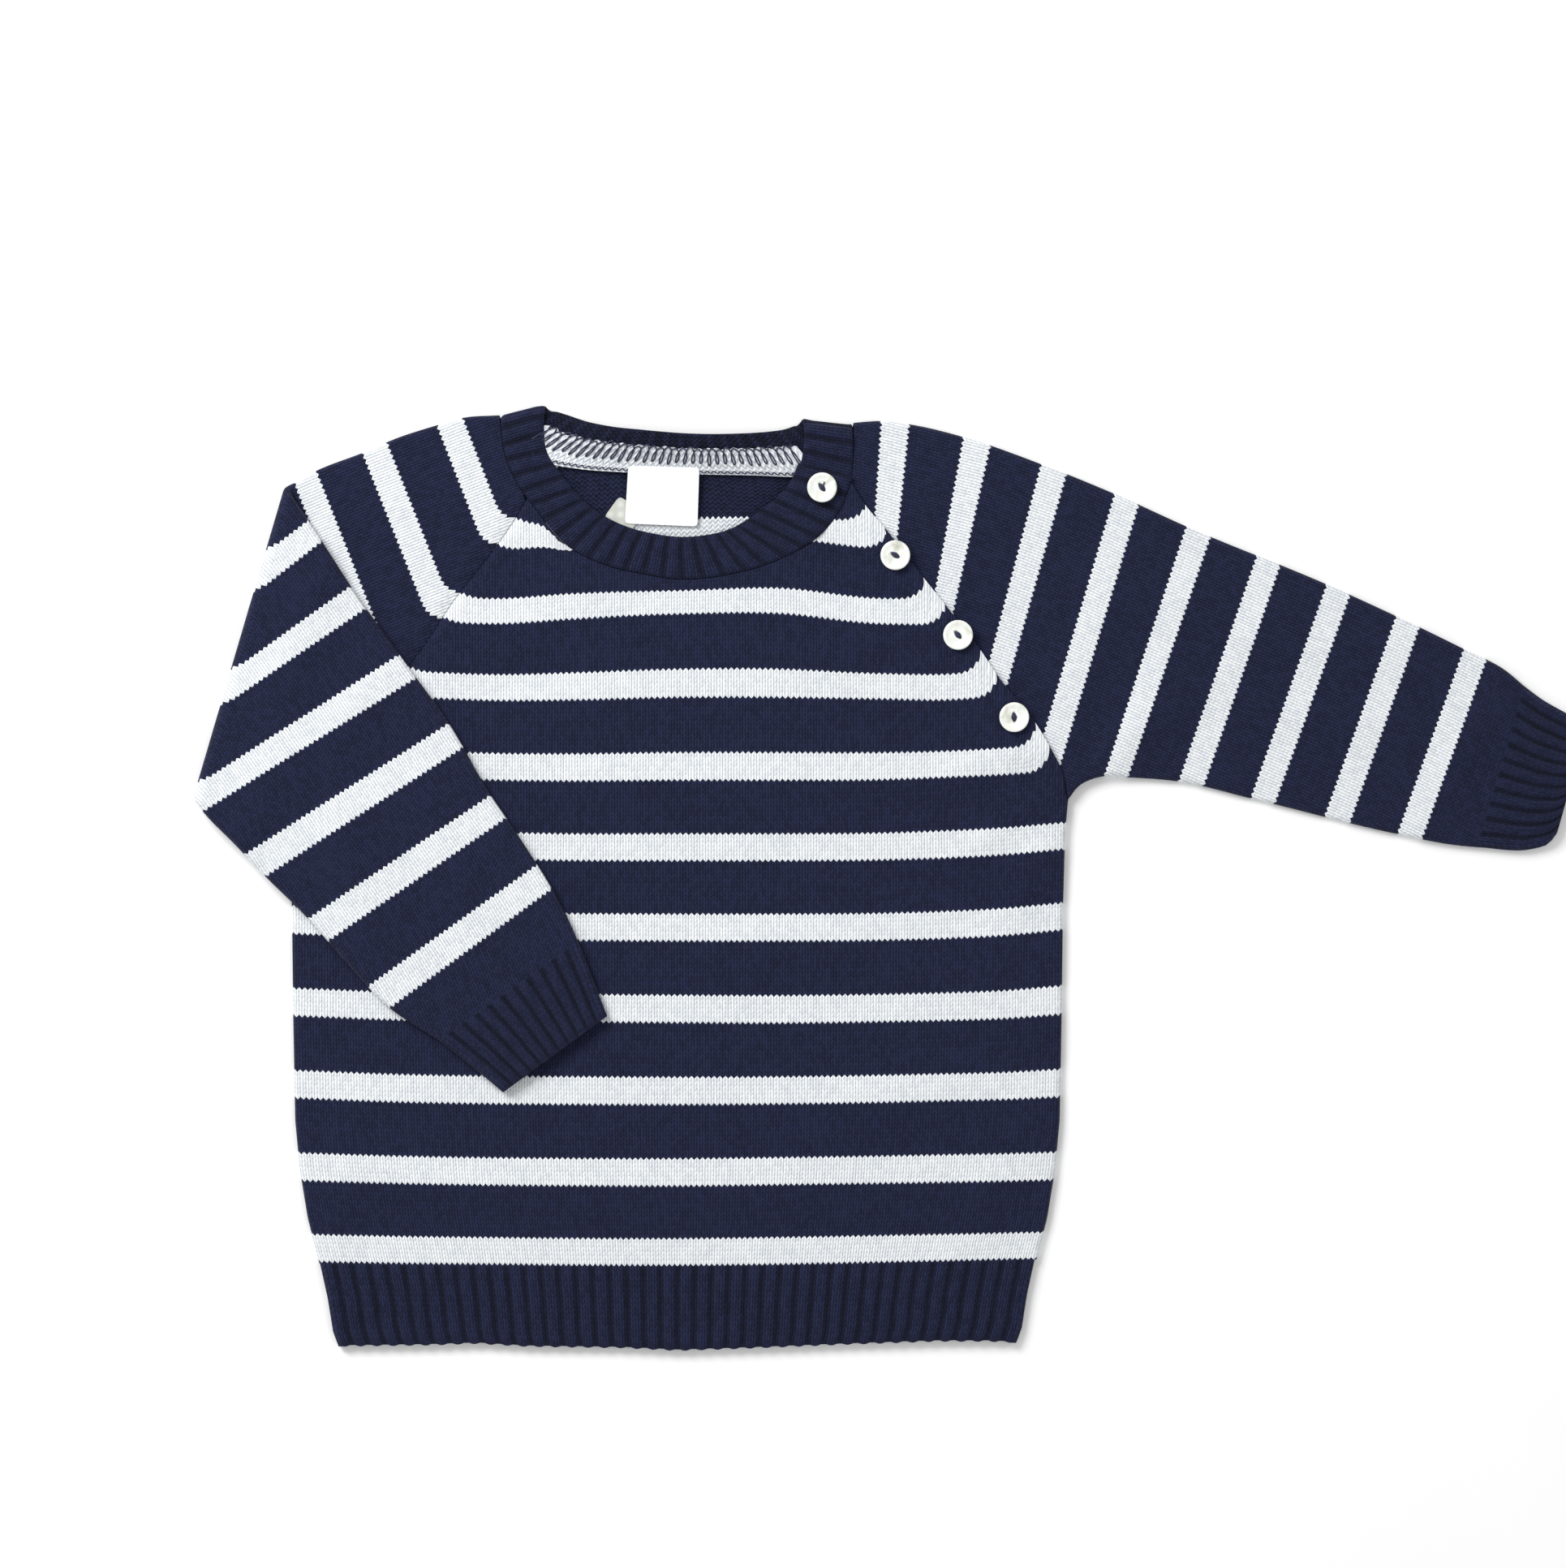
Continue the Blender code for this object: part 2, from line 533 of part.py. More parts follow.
def right_cuff():
    made = cuff(curve(unfolded(LAID_CUFF_UNDER)), curve(unfolded(LAID_CUFF_TOP)), False)
    return solid([turned_over(points) for points in made], tube=True)


# The neckband


def neckband():
    """A ribbed strip between the line where it is joined on and its free edge."""
    table = np.array(BAND)
    knots = (distances(table[:, :3]) + distances(table[:, 3:])) / 2
    places, high = rib_places(NECK_RIBS)
    at = places * knots[-1]
    turns = [np.linspace(knots[row - 1], knots[row + 1], FOLD_STEPS)
             for row in (LEFT_FOLD_ROW, RIGHT_FOLD_ROW)]
    stations = np.unique(np.round(np.concatenate([at, *turns]), 2))
    high = np.interp(stations, at, high)
    high *= ramp(knots[-1] - stations, LAP * 0.9, LAP * 1.2)
    seam, edge = band_lines(at=stations)
    across = edge - seam
    across /= np.linalg.norm(across, axis=1, keepdims=True)
    seam = seam + across * SEAM_GAP / 2
    middle = (seam + edge) / 2
    strip = np.stack([seam, middle, edge], axis=1)
    way = np.gradient(middle, stations, axis=0)
    out = np.cross(across, way)
    out = (out / np.linalg.norm(out, axis=1, keepdims=True))[:, None]
    thick = WALL / 2
    ribs = (RIB_HIGH * high)[:, None, None]
    return solid([strip + out * (thick + ribs), strip - out * thick])


# The small pieces


def label(low_x, low_y, high_x, high_y, low_z, high_z):
    plan = np.array([[(low_x, low_y), (high_x, low_y)], [(low_x, high_y), (high_x, high_y)]])
    return solid([np.dstack([plan, np.full((2, 2), z)]) for z in (high_z, low_z)])


def button_mesh():
    """A dished disc with two holes, in metres, standing on z = 0."""
    radius = BUTTON_D / 2
    profile = np.array([(0, 0), (0.80, 0), (0.97, 0.25), (1.0, 0.5), (0.97, 0.8), (0.86, 1.0), (0.70, 0.92),
                        (0.45, 0.62), (0, 0.58)]) * (radius, BUTTON_HIGH)
    form = bmesh.new()
    points = [form.verts.new((x * MM, 0, z * MM)) for x, z in profile]
    edges = [form.edges.new(pair) for pair in zip(points[:-1], points[1:])]
    bmesh.ops.spin(form, geom=points + edges, cent=(0, 0, 0), axis=(0, 0, 1), angle=math.tau,
                   steps=BUTTON_SIDES, use_merge=True)
    bmesh.ops.remove_doubles(form, verts=form.verts, dist=1e-6)
    bmesh.ops.recalc_face_normals(form, faces=form.faces)
    disc = bpy.data.meshes.new("button")
    form.to_mesh(disc)
    form.clear()
    for side in (-1, 1):
        place = Matrix.Translation((side * HOLE_APART / 2 * MM, 0, 0))
        bmesh.ops.create_cone(form, cap_ends=True, segments=HOLE_SIDES, radius1=HOLE_D / 2 * MM,
                              radius2=HOLE_D / 2 * MM, depth=4 * BUTTON_HIGH * MM, matrix=place)
    cutter = bpy.data.meshes.new("button_holes")
    form.to_mesh(cutter)
    form.free()
    return disc, cutter


def add_buttons(shift):
    disc, cutter = button_mesh()
    disc.materials.append(material("shell", SHELL, 0.25))
    disc.shade_smooth()
    disc.set_sharp_from_angle(angle=math.radians(40))
    for number, (x, y, z, lie) in enumerate(BUTTONS, 1):
        button = bpy.data.objects.new(f"button_{number}", disc)
        holes = bpy.data.objects.new(f"button_holes_{number}", cutter)
        holes.hide_render = True
        holes.display_type = "WIRE"
        holes.parent = button
        button.location = np.array([x - shift[0], y - shift[1], z + SEAM_GAP]) * MM
        button.rotation_euler.z = math.radians(lie)
        for piece in (button, holes):
            bpy.context.scene.collection.objects.link(piece)
        cut = button.modifiers.new("holes", "BOOLEAN")
        cut.operation = "DIFFERENCE"
        cut.solver = "EXACT"
        cut.object = holes


def material(name, color, roughness):
    made = bpy.data.materials.new(name)
    made.use_nodes = True
    shader = made.node_tree.nodes["Principled BSDF"]
    shader.inputs["Base Color"].default_value = (*color, 1)
    shader.inputs["Roughness"].default_value = roughness
    shader.inputs["Metallic"].default_value = 0.0
    made.diffuse_color = (*color, 1)
    return made


def add_piece(name, points, faces, color, roughness):
    """One closed body as an object, in metres, with its faces pointing out."""
    a, b, c, d = (points[faces[:, k]] for k in range(4))
    if np.einsum("ij,ij->", a, np.cross(b, c) + np.cross(c, d)) < 0:
        faces = faces[:, ::-1]
    mesh = bpy.data.meshes.new(name)
    mesh.from_pydata((points * MM).tolist(), [], faces.tolist())
    mesh.materials.append(material(name, color, roughness))
    mesh.shade_smooth()
    mesh.set_sharp_from_angle(angle=math.radians(50))
    piece = bpy.data.objects.new(name, mesh)
    bpy.context.scene.collection.objects.link(piece)


def main():
    for old in list(bpy.data.objects):
        bpy.data.objects.remove(old)
    pieces = {
        "front_panel": (*front_panel(), NAVY, 0.85),
        "back_panel": (*back_panel(), NAVY, 0.85),
        "front_hem_rib": (*hem_rib(True), NAVY, 0.85),
        "back_hem_rib": (*hem_rib(False), NAVY, 0.85),
        "left_sleeve": (*left_sleeve(), NAVY, 0.85),
        "left_cuff": (*left_cuff(), NAVY, 0.85),
        "right_sleeve": (*right_sleeve(), NAVY, 0.85),
        "right_cuff": (*right_cuff(), NAVY, 0.85),
        "neckband": (*neckband(), NAVY, 0.85),
        "neck_label": (*label(*NECK_LABEL), TAPE, 0.6),
        "care_label": (*label(*CARE_LABEL), TAPE, 0.5),
    }
    everything = np.concatenate([points for points, *_ in pieces.values()])
    shift = (everything.min(axis=0) + everything.max(axis=0)) / 2 * (1, 1, 0)
    for name, (points, faces, color, roughness) in pieces.items():
        add_piece(name, points - shift, faces, color, roughness)
    add_buttons(shift)


main()
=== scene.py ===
# %% [markdown]
# # A child's striped cotton sweater, laid flat
#
# The real thing is a fine knitted pullover with raglan sleeves, navy with narrow white stripes. It lies
# on its back, with the wearer's left sleeve stretched out and the other one folded over onto the front.
# The left raglan is open and closes with four shell buttons.
#
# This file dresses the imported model. Cloth could be simulated, but a garment that somebody has smoothed
# flat by hand has hardly any drape left, and its stripes, ribs and seams have to run in known places. So
# each knitted piece is a thin shell worked out from the lines that a knitter would measure: its edges,
# its seams, and the rows of stitches that cross it.

# %% Load the frame
import math

import bpy
import numpy as np
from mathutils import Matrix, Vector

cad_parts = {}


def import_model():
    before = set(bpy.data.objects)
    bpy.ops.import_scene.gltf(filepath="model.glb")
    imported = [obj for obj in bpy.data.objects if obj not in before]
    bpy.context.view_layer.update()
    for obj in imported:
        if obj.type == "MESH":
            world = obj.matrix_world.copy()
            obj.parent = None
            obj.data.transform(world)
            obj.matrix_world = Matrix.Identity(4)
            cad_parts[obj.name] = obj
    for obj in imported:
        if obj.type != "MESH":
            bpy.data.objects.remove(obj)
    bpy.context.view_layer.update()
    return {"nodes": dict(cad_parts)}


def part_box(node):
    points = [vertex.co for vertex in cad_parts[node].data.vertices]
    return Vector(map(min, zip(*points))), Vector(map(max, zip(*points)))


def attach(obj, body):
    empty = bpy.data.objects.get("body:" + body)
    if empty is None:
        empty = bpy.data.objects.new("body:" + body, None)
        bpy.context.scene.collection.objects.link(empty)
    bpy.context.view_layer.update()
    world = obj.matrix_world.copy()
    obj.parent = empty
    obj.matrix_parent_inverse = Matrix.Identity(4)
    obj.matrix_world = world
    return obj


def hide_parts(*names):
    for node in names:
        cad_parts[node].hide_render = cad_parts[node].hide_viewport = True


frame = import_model()
print("nodes:", ", ".join(frame["nodes"]))

# %% [markdown]
# ## Where things are
#
# Every size below is in millimetres, as a tape would read it on the garment: x to the right from the
# middle of the front, y up from the hem, z above the surface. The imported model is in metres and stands
# in another place. The neck label is a plain rectangle there, so its corner gives the way from one to
# the other.

# %% The garment's own millimetres
MM = 0.001
LABEL = (-18.3, 304.4, 7.8, 322.6)  # the neck label: low x, low y, high x, high y
label_low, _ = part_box("neck_label")
SHIFT = np.array([LABEL[0] - label_low[0] / MM, LABEL[1] - label_low[1] / MM, 0.0])
print("the garment's zero stands at", (-SHIFT[:2]).round(2), "mm")

# %% [markdown]
# ## The cut of the garment
#
# These are the same measures that the solids were made from. Each piece is bounded by smooth lines
# through a few measured places. The two walls of the body lie on each other, with a little air between
# them.

# %% Thickness and layers
WALL = 1.6  # thickness of the knitted cloth
AIR = 0.6  # space between two walls that lie on each other
LAYER = 2 * WALL + AIR
EDGE_R = LAYER / 2  # a folded side edge is a half round
EDGE_IN = AIR / 2
LAP = 11.0  # the sleeve reaches this far under the buttoned edge
LAP_CORNER = (60.0, 308.5)
LAP_FROM_Y = (224.0, 236.0)
LIFT = WALL + 0.3  # the front lies this much higher over the lap
LIFT_RAMP = (13.5, 22.0)
LIFT_FROM_Y = (207.0, 221.0)
ARMPIT_Y = 202.5
HEM_SEAM_Y = 30.3

# %% Edges of the body
SIDE = ((0, 124.8), (6, 127.2), (18, 129.2), (31, 132.2), (48, 136.6), (66, 139.5), (84, 141.2),
        (120, 141.9), (160, 142.4), (190, 143.2), (ARMPIT_Y, 144.3))
HEM_EDGE = ((-125, 0.9), (-92, 1.3), (-74, 1.9), (-55, 0.8), (-20, 0.3), (0, -0.7), (25, 0.1), (60, 1.5),
            (95, 2.7), (115, 2.7), (125, 2.2))
OPEN_RAGLAN = ((144.3, ARMPIT_Y), (142.8, 211.0), (138.0, 221.0), (131.7, 231.6), (118.8, 247.5),
               (111.3, 258.6), (100.5, 272.4), (89.7, 285.9), (75.9, 303.6), (69.0, 311.7), (64.4, 319.2))
SEWN_RAGLAN = ((-144.3, ARMPIT_Y), (-134.0, 213.0), (-112.0, 237.0), (-94.5, 258.0), (-82.5, 276.0),
               (-66.0, 297.3), (-59.6, 306.6), (-55.5, 314.1))
BACK_OPEN_RAGLAN = ((144.3, ARMPIT_Y), (131.0, 219.0), (88.0, 275.0), (52.5, 322.6))
BACK_SEWN_RAGLAN = ((-144.3, ARMPIT_Y), (-131.0, 219.0), (-86.0, 279.0), (-50.1, 328.2))

# %% The neckband, row by row: seam x, y, z, then edge x, y, z
FRONT_Z = 3.6
OVER_Z = FRONT_Z + LIFT
BACK_Z = 1.8
FOLD_Z = (FRONT_Z + BACK_Z) / 2
BAND = np.array((
    (64.4, 321.6, OVER_Z, 44.7, 326.4, OVER_Z),
    (60.6, 310.5, OVER_Z, 40.8, 318.3, OVER_Z),
    (54.9, 302.4, OVER_Z - 0.4, 34.8, 312.3, OVER_Z - 0.4),
    (48.9, 297.3, FRONT_Z + 0.4, 27.9, 307.2, FRONT_Z + 0.4),
    (31.8, 288.9, FRONT_Z, 18.0, 301.8, FRONT_Z),
    (17.1, 285.3, FRONT_Z, 9.9, 300.0, FRONT_Z),
    (2.1, 283.8, FRONT_Z, 1.5, 299.4, FRONT_Z),
    (-12.9, 285.9, FRONT_Z, -8.7, 300.6, FRONT_Z),
    (-26.7, 289.2, FRONT_Z, -18.9, 303.3, FRONT_Z),
    (-40.8, 296.4, FRONT_Z, -28.5, 308.1, FRONT_Z),
    (-52.5, 310.2, FRONT_Z, -37.5, 315.9, FRONT_Z),
    (-58.5, 318.3, FRONT_Z, -43.5, 323.4, FRONT_Z),
    (-62.7, 327.0, FRONT_Z, -47.7, 330.0, FRONT_Z),
    (-64.5, 334.2, FRONT_Z, -49.2, 339.0, FRONT_Z),
    (-65.1, 341.6, FRONT_Z, -48.9, 345.8, FRONT_Z),
    (-65.1, 343.0, FOLD_Z, -48.6, 347.2, FOLD_Z),
    (-64.9, 341.2, BACK_Z, -47.4, 346.2, BACK_Z),
    (-61.6, 335.4, BACK_Z, -44.4, 345.6, 1.6),
    (-57.0, 331.4, BACK_Z, -40.5, 344.4, 2.1),
    (-50.1, 328.2, BACK_Z, -34.5, 342.3, 3.6),
    (-37.5, 325.8, BACK_Z, -25.5, 340.2, 5.6),
    (-19.5, 324.6, BACK_Z, -13.5, 338.7, 7.4),
    (4.5, 324.0, BACK_Z, 4.5, 337.2, 8.0),
    (28.5, 323.4, BACK_Z, 21.0, 337.2, 7.2),
    (45.0, 322.5, BACK_Z, 33.0, 338.1, 4.8),
    (52.5, 322.6, BACK_Z, 39.0, 339.0, 2.6),
    (59.6, 328.4, BACK_Z, 42.6, 340.2, 1.7),
    (63.8, 338.6, BACK_Z, 45.0, 341.2, BACK_Z),
    (64.4, 340.4, FOLD_Z, 46.2, 342.4, FOLD_Z),
    (64.6, 338.6, FRONT_Z, 46.6, 340.8, FRONT_Z),
    (64.6, 325.5, FRONT_Z, 45.9, 330.0, FRONT_Z),
    (62.6, 314.8, FRONT_Z, 42.2, 319.9, FRONT_Z),
))
LEFT_FOLD_ROW = 15
RIGHT_FOLD_ROW = 28
SEWN_ROW = 10.45  # where the front's raglans meet the neck
OPEN_ROW = 0.2
BACK_ROWS = (19, 25)

# %% Edges of the sleeves
LEFT_TOP = ((65.1, 341.6), (75.0, 342.3), (85.5, 341.1), (105.9, 336.3), (135.0, 326.1), (161.7, 315.3),
            (188.1, 303.3), (239.7, 282.0), (290.7, 258.0), (305.4, 250.5), (312.6, 244.5))
LEFT_UNDER = ((144.3, ARMPIT_Y), (148.5, 207.6), (156.6, 210.9), (166.5, 210.6), (185.1, 209.1),
              (212.1, 202.8), (266.4, 189.6), (286.5, 185.7), (295.2, 184.8))
LEFT_CUFF_TOP = ((312.6, 244.5), (319.5, 239.4), (328.5, 234.3), (336.0, 230.1))
LEFT_CUFF_UNDER = ((295.2, 184.8), (315.9, 184.2), (321.6, 186.0), (324.6, 189.6))
BICEP_TOP_X = 184.0
BICEP_UNDER_X = 160.0
FOLD_EDGE = (-148.5, 306.0)
FOLD_LEAN = 0.294
RIGHT_TOP = ((-65.8, 344.4), (-79.5, 343.4), (-88.5, 340.8), (-103.5, 336.0), (-116.1, 330.6),
             (-134.4, 323.4), (-142.8, 318.6))
RIGHT_UNDER = ((-144.3, ARMPIT_Y), (-148.5, 207.2), (-156.6, 209.6), (-166.5, 208.2))
LAID_TOP = ((-136.2, 305.7), (-129.9, 296.1), (-120.3, 281.1), (-102.0, 255.3), (-83.7, 229.8),
            (-68.7, 204.0), (-58.5, 189.0), (-40.5, 159.0), (-36.6, 150.3))
LAID_UNDER = ((-174.9, 198.0), (-163.2, 186.0), (-151.8, 174.0), (-138.0, 160.5), (-121.5, 141.9),
              (-106.5, 126.0), (-87.9, 113.7))
LAID_CUFF_TOP = ((-36.6, 150.3), (-31.5, 137.4), (-25.8, 122.7))
LAID_CUFF_UNDER = ((-87.9, 113.7), (-76.0, 104.4), (-64.2, 94.5))

# %% [markdown]
# ## Lines and patches
#
# A piece of cloth is filled in between its four edges. One formula does it: the blend of the two rows,
# plus the blend of the two sides, less the blend of the corners. The whole grid is worked out in one
# step.

# %% Curves, and the patch between four of them
def ramp(x, low, high):
    """0 below low, 1 above high, and 3t² − 2t³ between."""
    t = np.clip((x - low) / (high - low), 0, 1)
    return t * t * (3 - 2 * t)


def distances(points):
    """How far along a chain of points each one lies: the running sum of its steps."""
    steps = np.linalg.norm(np.diff(points, axis=0), axis=1)
    return np.concatenate([[0], np.cumsum(steps)])


def smooth(points, knots, at):
    """The curve through each point at its knot: between two, a cubic with the slopes of its neighbours."""
    slopes = np.gradient(points, knots, axis=0)
    i = np.clip(np.searchsorted(knots, at, side="right") - 1, 0, len(knots) - 2)
    step = (knots[i + 1] - knots[i])[:, None]
    t = (at - knots[i])[:, None] / step
    return ((1 + 2 * t) * (1 - t) ** 2 * points[i] + t * (1 - t) ** 2 * step * slopes[i]
            + t * t * (3 - 2 * t) * points[i + 1] - t * t * (1 - t) * step * slopes[i + 1])


def curve(points, count=160):
    points = np.array(points, float)
    knots = distances(points)
    return smooth(points, knots, np.linspace(0, knots[-1], count))


def along(points, shares):
    """Points at some shares of a chain's length."""
    far = distances(points)
    at = np.asarray(shares) * far[-1]
    return np.stack([np.interp(at, far, column) for column in points.T], axis=1)


def beside(points, offset):
    """The chain moved sideways in plan, to its right for a positive offset."""
    way = np.gradient(points, axis=0)
    way /= np.linalg.norm(way, axis=1, keepdims=True)
    return points + np.reshape(offset, (-1, 1)) * np.stack([way[:, 1], -way[:, 0]], axis=1)


def patch(first_row, last_row, first_side, last_side):
    """The grid between four edges: rows blended, plus sides blended, less the corners blended."""
    u, v = (sum(distances(line) / distances(line)[-1] for line in pair) / 2
            for pair in ((first_row, last_row), (first_side, last_side)))
    u = u[None, :, None]
    v = v[:, None, None]
    rows = (1 - v) * first_row[None] + v * last_row[None]
    sides = (1 - u) * first_side[:, None] + u * last_side[:, None]
    corners = ((1 - u) * (1 - v) * first_row[0] + u * (1 - v) * first_row[-1]
               + (1 - u) * v * last_row[0] + u * v * last_row[-1])
    return rows + sides - corners


def nearest(points, line):
    """How far each point is from a chain, in plan."""
    flat = points[..., :2].reshape(-1, 2)
    gap = np.linalg.norm(flat[:, None] - line[None], axis=-1).min(axis=1)
    return gap.reshape(points.shape[:-1])


open_edge = curve(OPEN_RAGLAN)
sewn_edge = curve(SEWN_RAGLAN)
print("raglans:", distances(open_edge)[-1].round(), "and", distances(sewn_edge)[-1].round(), "mm long")

# %% [markdown]
# ## Rows and columns of stitches
#
# Knitting is a grid: columns of stitches, called wales, and rows of them, called courses. A stripe is a
# few courses in another colour, so the stripes bend where the courses do. On the front they sag beside
# the neck and are drawn up towards the buttoned edge; on a sleeve they run across it, a little askew. A
# picture could be laid on the cloth, but then the stitches wouldn't follow the stripes. So each point of
# the cloth is given the number of its wale and of its course, in the UV map, and the finish is drawn
# from those two numbers.

# %% The stitch grid of the body
WALE = 2.1  # width of a stitch
STRIPE = 30.0  # one white stripe and one navy one
COURSES = 18  # rows of stitches in the two
WHITE_COURSES = 6
COURSE = STRIPE / COURSES
# How far each white stripe's lower edge lies above its even place, from the hem up, at each x
SAG_X = np.array((-140, -100, -65, -40, 0, 38, 75, 100, 120, 140), float)
SAG = np.array((
    (1.4, 0.6, 0.3, 0.0, -0.1, 0.3, 1.1, 1.7, 2.2, 2.6),
    (1.1, 0.0, -0.6, -0.8, -0.9, -0.4, 0.1, 0.5, 0.9, 1.3),
    (1.5, 0.0, -0.6, -0.8, -0.9, -0.6, 0.0, 0.6, 1.0, 1.9),
    (1.8, 0.3, -0.2, -0.3, -0.6, -0.8, -0.3, 0.2, 0.8, 2.2),
    (2.1, 0.6, -0.3, -0.3, -0.5, -0.5, -0.2, 0.5, 1.5, 3.4),
    (2.4, 0.6, -0.3, -0.8, -0.9, -0.9, -0.6, 0.2, 1.3, 3.2),
    (2.0, 0.0, -1.2, -1.5, -1.2, -1.2, -1.0, 0.0, 0.9, 2.5),
    (1.0, -0.5, -1.8, -1.6, -0.6, -0.6, -1.2, -1.6, 0.0, 1.0),
    (0.0, -2.0, -3.6, -1.8, 0.3, 0.4, -3.7, -3.6, -1.0, 0.0),
    (0.0, -2.0, -6.5, -4.5, -5.0, -2.0, -6.0, -4.0, -1.0, 0.0),
    (0.0, -2.0, -6.5, -4.5, 0.0, -10.0, -6.0, -4.0, -1.0, 0.0),
))


def half_width(y):
    return np.interp(y, *np.array(SIDE).T)


def body_stitches(points, pulled=True):
    """Wale and course of points on the body.

    The course is the height above the rib, less the sag there, less the pull of the raglan edges: a parabola
    of the distance from the edge, and a steeper one in the last stitch.
    """
    x, y = points[..., 0], points[..., 1]
    sags = smooth(SAG.T, SAG_X, x.ravel()).reshape(*x.shape, -1)
    row = np.clip((y - HEM_SEAM_Y) / STRIPE, 0, len(SAG) - 1.001)
    low = row.astype(int)[..., None]
    sag = (np.take_along_axis(sags, low, -1) + (np.take_along_axis(sags, low + 1, -1)
           - np.take_along_axis(sags, low, -1)) * (row[..., None] - low))[..., 0]
    pull = 0
    if pulled:
        gap = nearest(points, open_edge)
        strength = np.interp(y, (210, 310), (9, 6))
        pull = strength * np.maximum(1 - gap / 12, 0) ** 2 + 1.6 * np.maximum(1 - gap / 2, 0) ** 2
        pull = pull * ramp(y, 202, 214)
        pull += 2 * np.maximum(1 - nearest(points, sewn_edge) / 8, 0) ** 2 * ramp(y, 210, 225)
    along_wale = y - HEM_SEAM_Y - sag - pull
    if pulled:  # beside the neckband on the sewn side the topmost stripe is drawn in to a point
        drawn = np.interp(x, (-58, -52, -48.6, -45.3, -41, -34, -28), (0, 0.1, 0.3, 1.0, 4, 4, 0))
        along_wale = along_wale + drawn * np.clip(y - 293.9, 0, 9)
    across = x * 142 / half_width(np.minimum(y, 120))
    return np.stack([across / WALE + 0.5, along_wale / COURSE], axis=-1)


# %% The stitch grid of the sleeves
# The line of stitches at the cuff side of each white stripe, and at the cuff: over the arm x, y, under
# it x, y
LEFT_ROWS = np.array((
    (86.1, 341.1, 81.6, 299.4), (116.1, 333.3, 102.3, 272.4), (144.3, 323.1, 122.7, 246.9),
    (170.7, 311.1, 143.7, 221.7), (197.4, 299.7, 166.5, 210.3), (222.9, 288.6, 194.4, 206.4),
    (248.7, 277.8, 220.8, 200.4), (274.5, 266.4, 248.7, 193.8), (299.1, 254.1, 275.1, 187.8),
    (312.6, 244.5, 295.2, 184.8)))
RIGHT_ROWS = np.array((
    (-89.1, 340.2, -73.2, 299.4), (-116.4, 329.4, -93.3, 271.5), (-141.6, 318.6, -112.0, 243.0)))
# The same beyond the fold, as the sleeve lies on the front
LAID_ROWS = np.array((
    (-130.5, 297.3, -153.9, 279.0), (-113.7, 273.0, -166.8, 236.7), (-95.7, 246.9, -173.1, 198.6),
    (-79.2, 220.8, -150.0, 174.6), (-61.8, 195.9, -127.8, 150.3), (-45.9, 169.2, -106.2, 124.8),
    (-36.6, 150.3, -87.9, 113.7)))
ROWS_AT = np.append(np.arange(9, 0, -1) * STRIPE, 11.6)  # how far above the cuff's ribs they count as


def sleeve_stitches(points, rows, side):
    """Wale and course of points on a sleeve.

    The signed distance from two neighbouring lines gives the share of the way between them, and so the course.
    The wale is the distance from the line over the arm, along the course. Side is 1 where the cuff is to the
    right and -1 where it is to the left.
    """
    flat = points[..., :2].reshape(-1, 2)
    over, under = rows[:, :2], rows[:, 2:]
    way = over - under
    way = way / np.linalg.norm(way, axis=1, keepdims=True)
    gap = flat[:, None] - under[None]
    past = side * (gap[..., 0] * way[:, 1] - gap[..., 1] * way[:, 0])
    low = np.clip((past > 0).sum(axis=1) - 1, 0, len(rows) - 2)
    first = np.take_along_axis(past, low[:, None], 1)[:, 0]
    second = np.take_along_axis(past, low[:, None] + 1, 1)[:, 0]
    share = first / (first - second)
    course = ROWS_AT[low] + share * (ROWS_AT[low + 1] - ROWS_AT[low])
    top = over[low] + share[:, None] * (over[low + 1] - over[low])
    lean = way[low] + share[:, None] * (way[low + 1] - way[low])
    wale = -((flat - top) * lean).sum(axis=1)
    return np.stack([wale / WALE, course / COURSE], axis=-1).reshape(*points.shape[:-1], 2)


print("a stitch is", WALE, "mm wide and", round(COURSE, 2), "mm high")

# %% [markdown]
# ## How the cloth lies
#
# Smoothed flat, the cloth still swells a little: at the underarms, where the sleeve pulls, along the
# buttoned edge, and where the folded sleeve lies on it. Each swell is a long soft mound. The surface
# below keeps the underside flat, so only what is above the back's wall rises, and each layer rises with
# the one that it lies on.

# %% Swells and creases
# Middle x, y, half length, half width, turn in degrees, height
SWELLS = np.array((
    (124, 196, 26, 6.0, 38, 1.5), (132, 178, 30, 7.0, 62, 1.0), (112, 214, 22, 6.0, 18, 0.8),
    (-128, 190, 30, 7.0, 128, 1.3), (-118, 160, 40, 9.0, 100, 0.9), (96, 236, 34, 8.0, -50, 0.9),
    (60, 268, 30, 9.0, -28, 0.7), (-62, 262, 34, 8.0, 35, 0.8), (-40, 236, 46, 10.0, 8, 0.6),
    (20, 206, 60, 12.0, -6, 0.6), (50, 150, 50, 13.0, 14, 0.7), (-10, 110, 70, 14.0, -8, 0.6),
    (80, 92, 44, 11.0, 24, 0.7), (-95, 62, 40, 10.0, -20, 0.8), (112, 50, 30, 9.0, 62, 0.9),
    (10, 52, 60, 11.0, 4, 0.5), (-126, 40, 26, 7.0, 84, 0.8), (60, 18, 30, 8.0, -10, 0.5)))
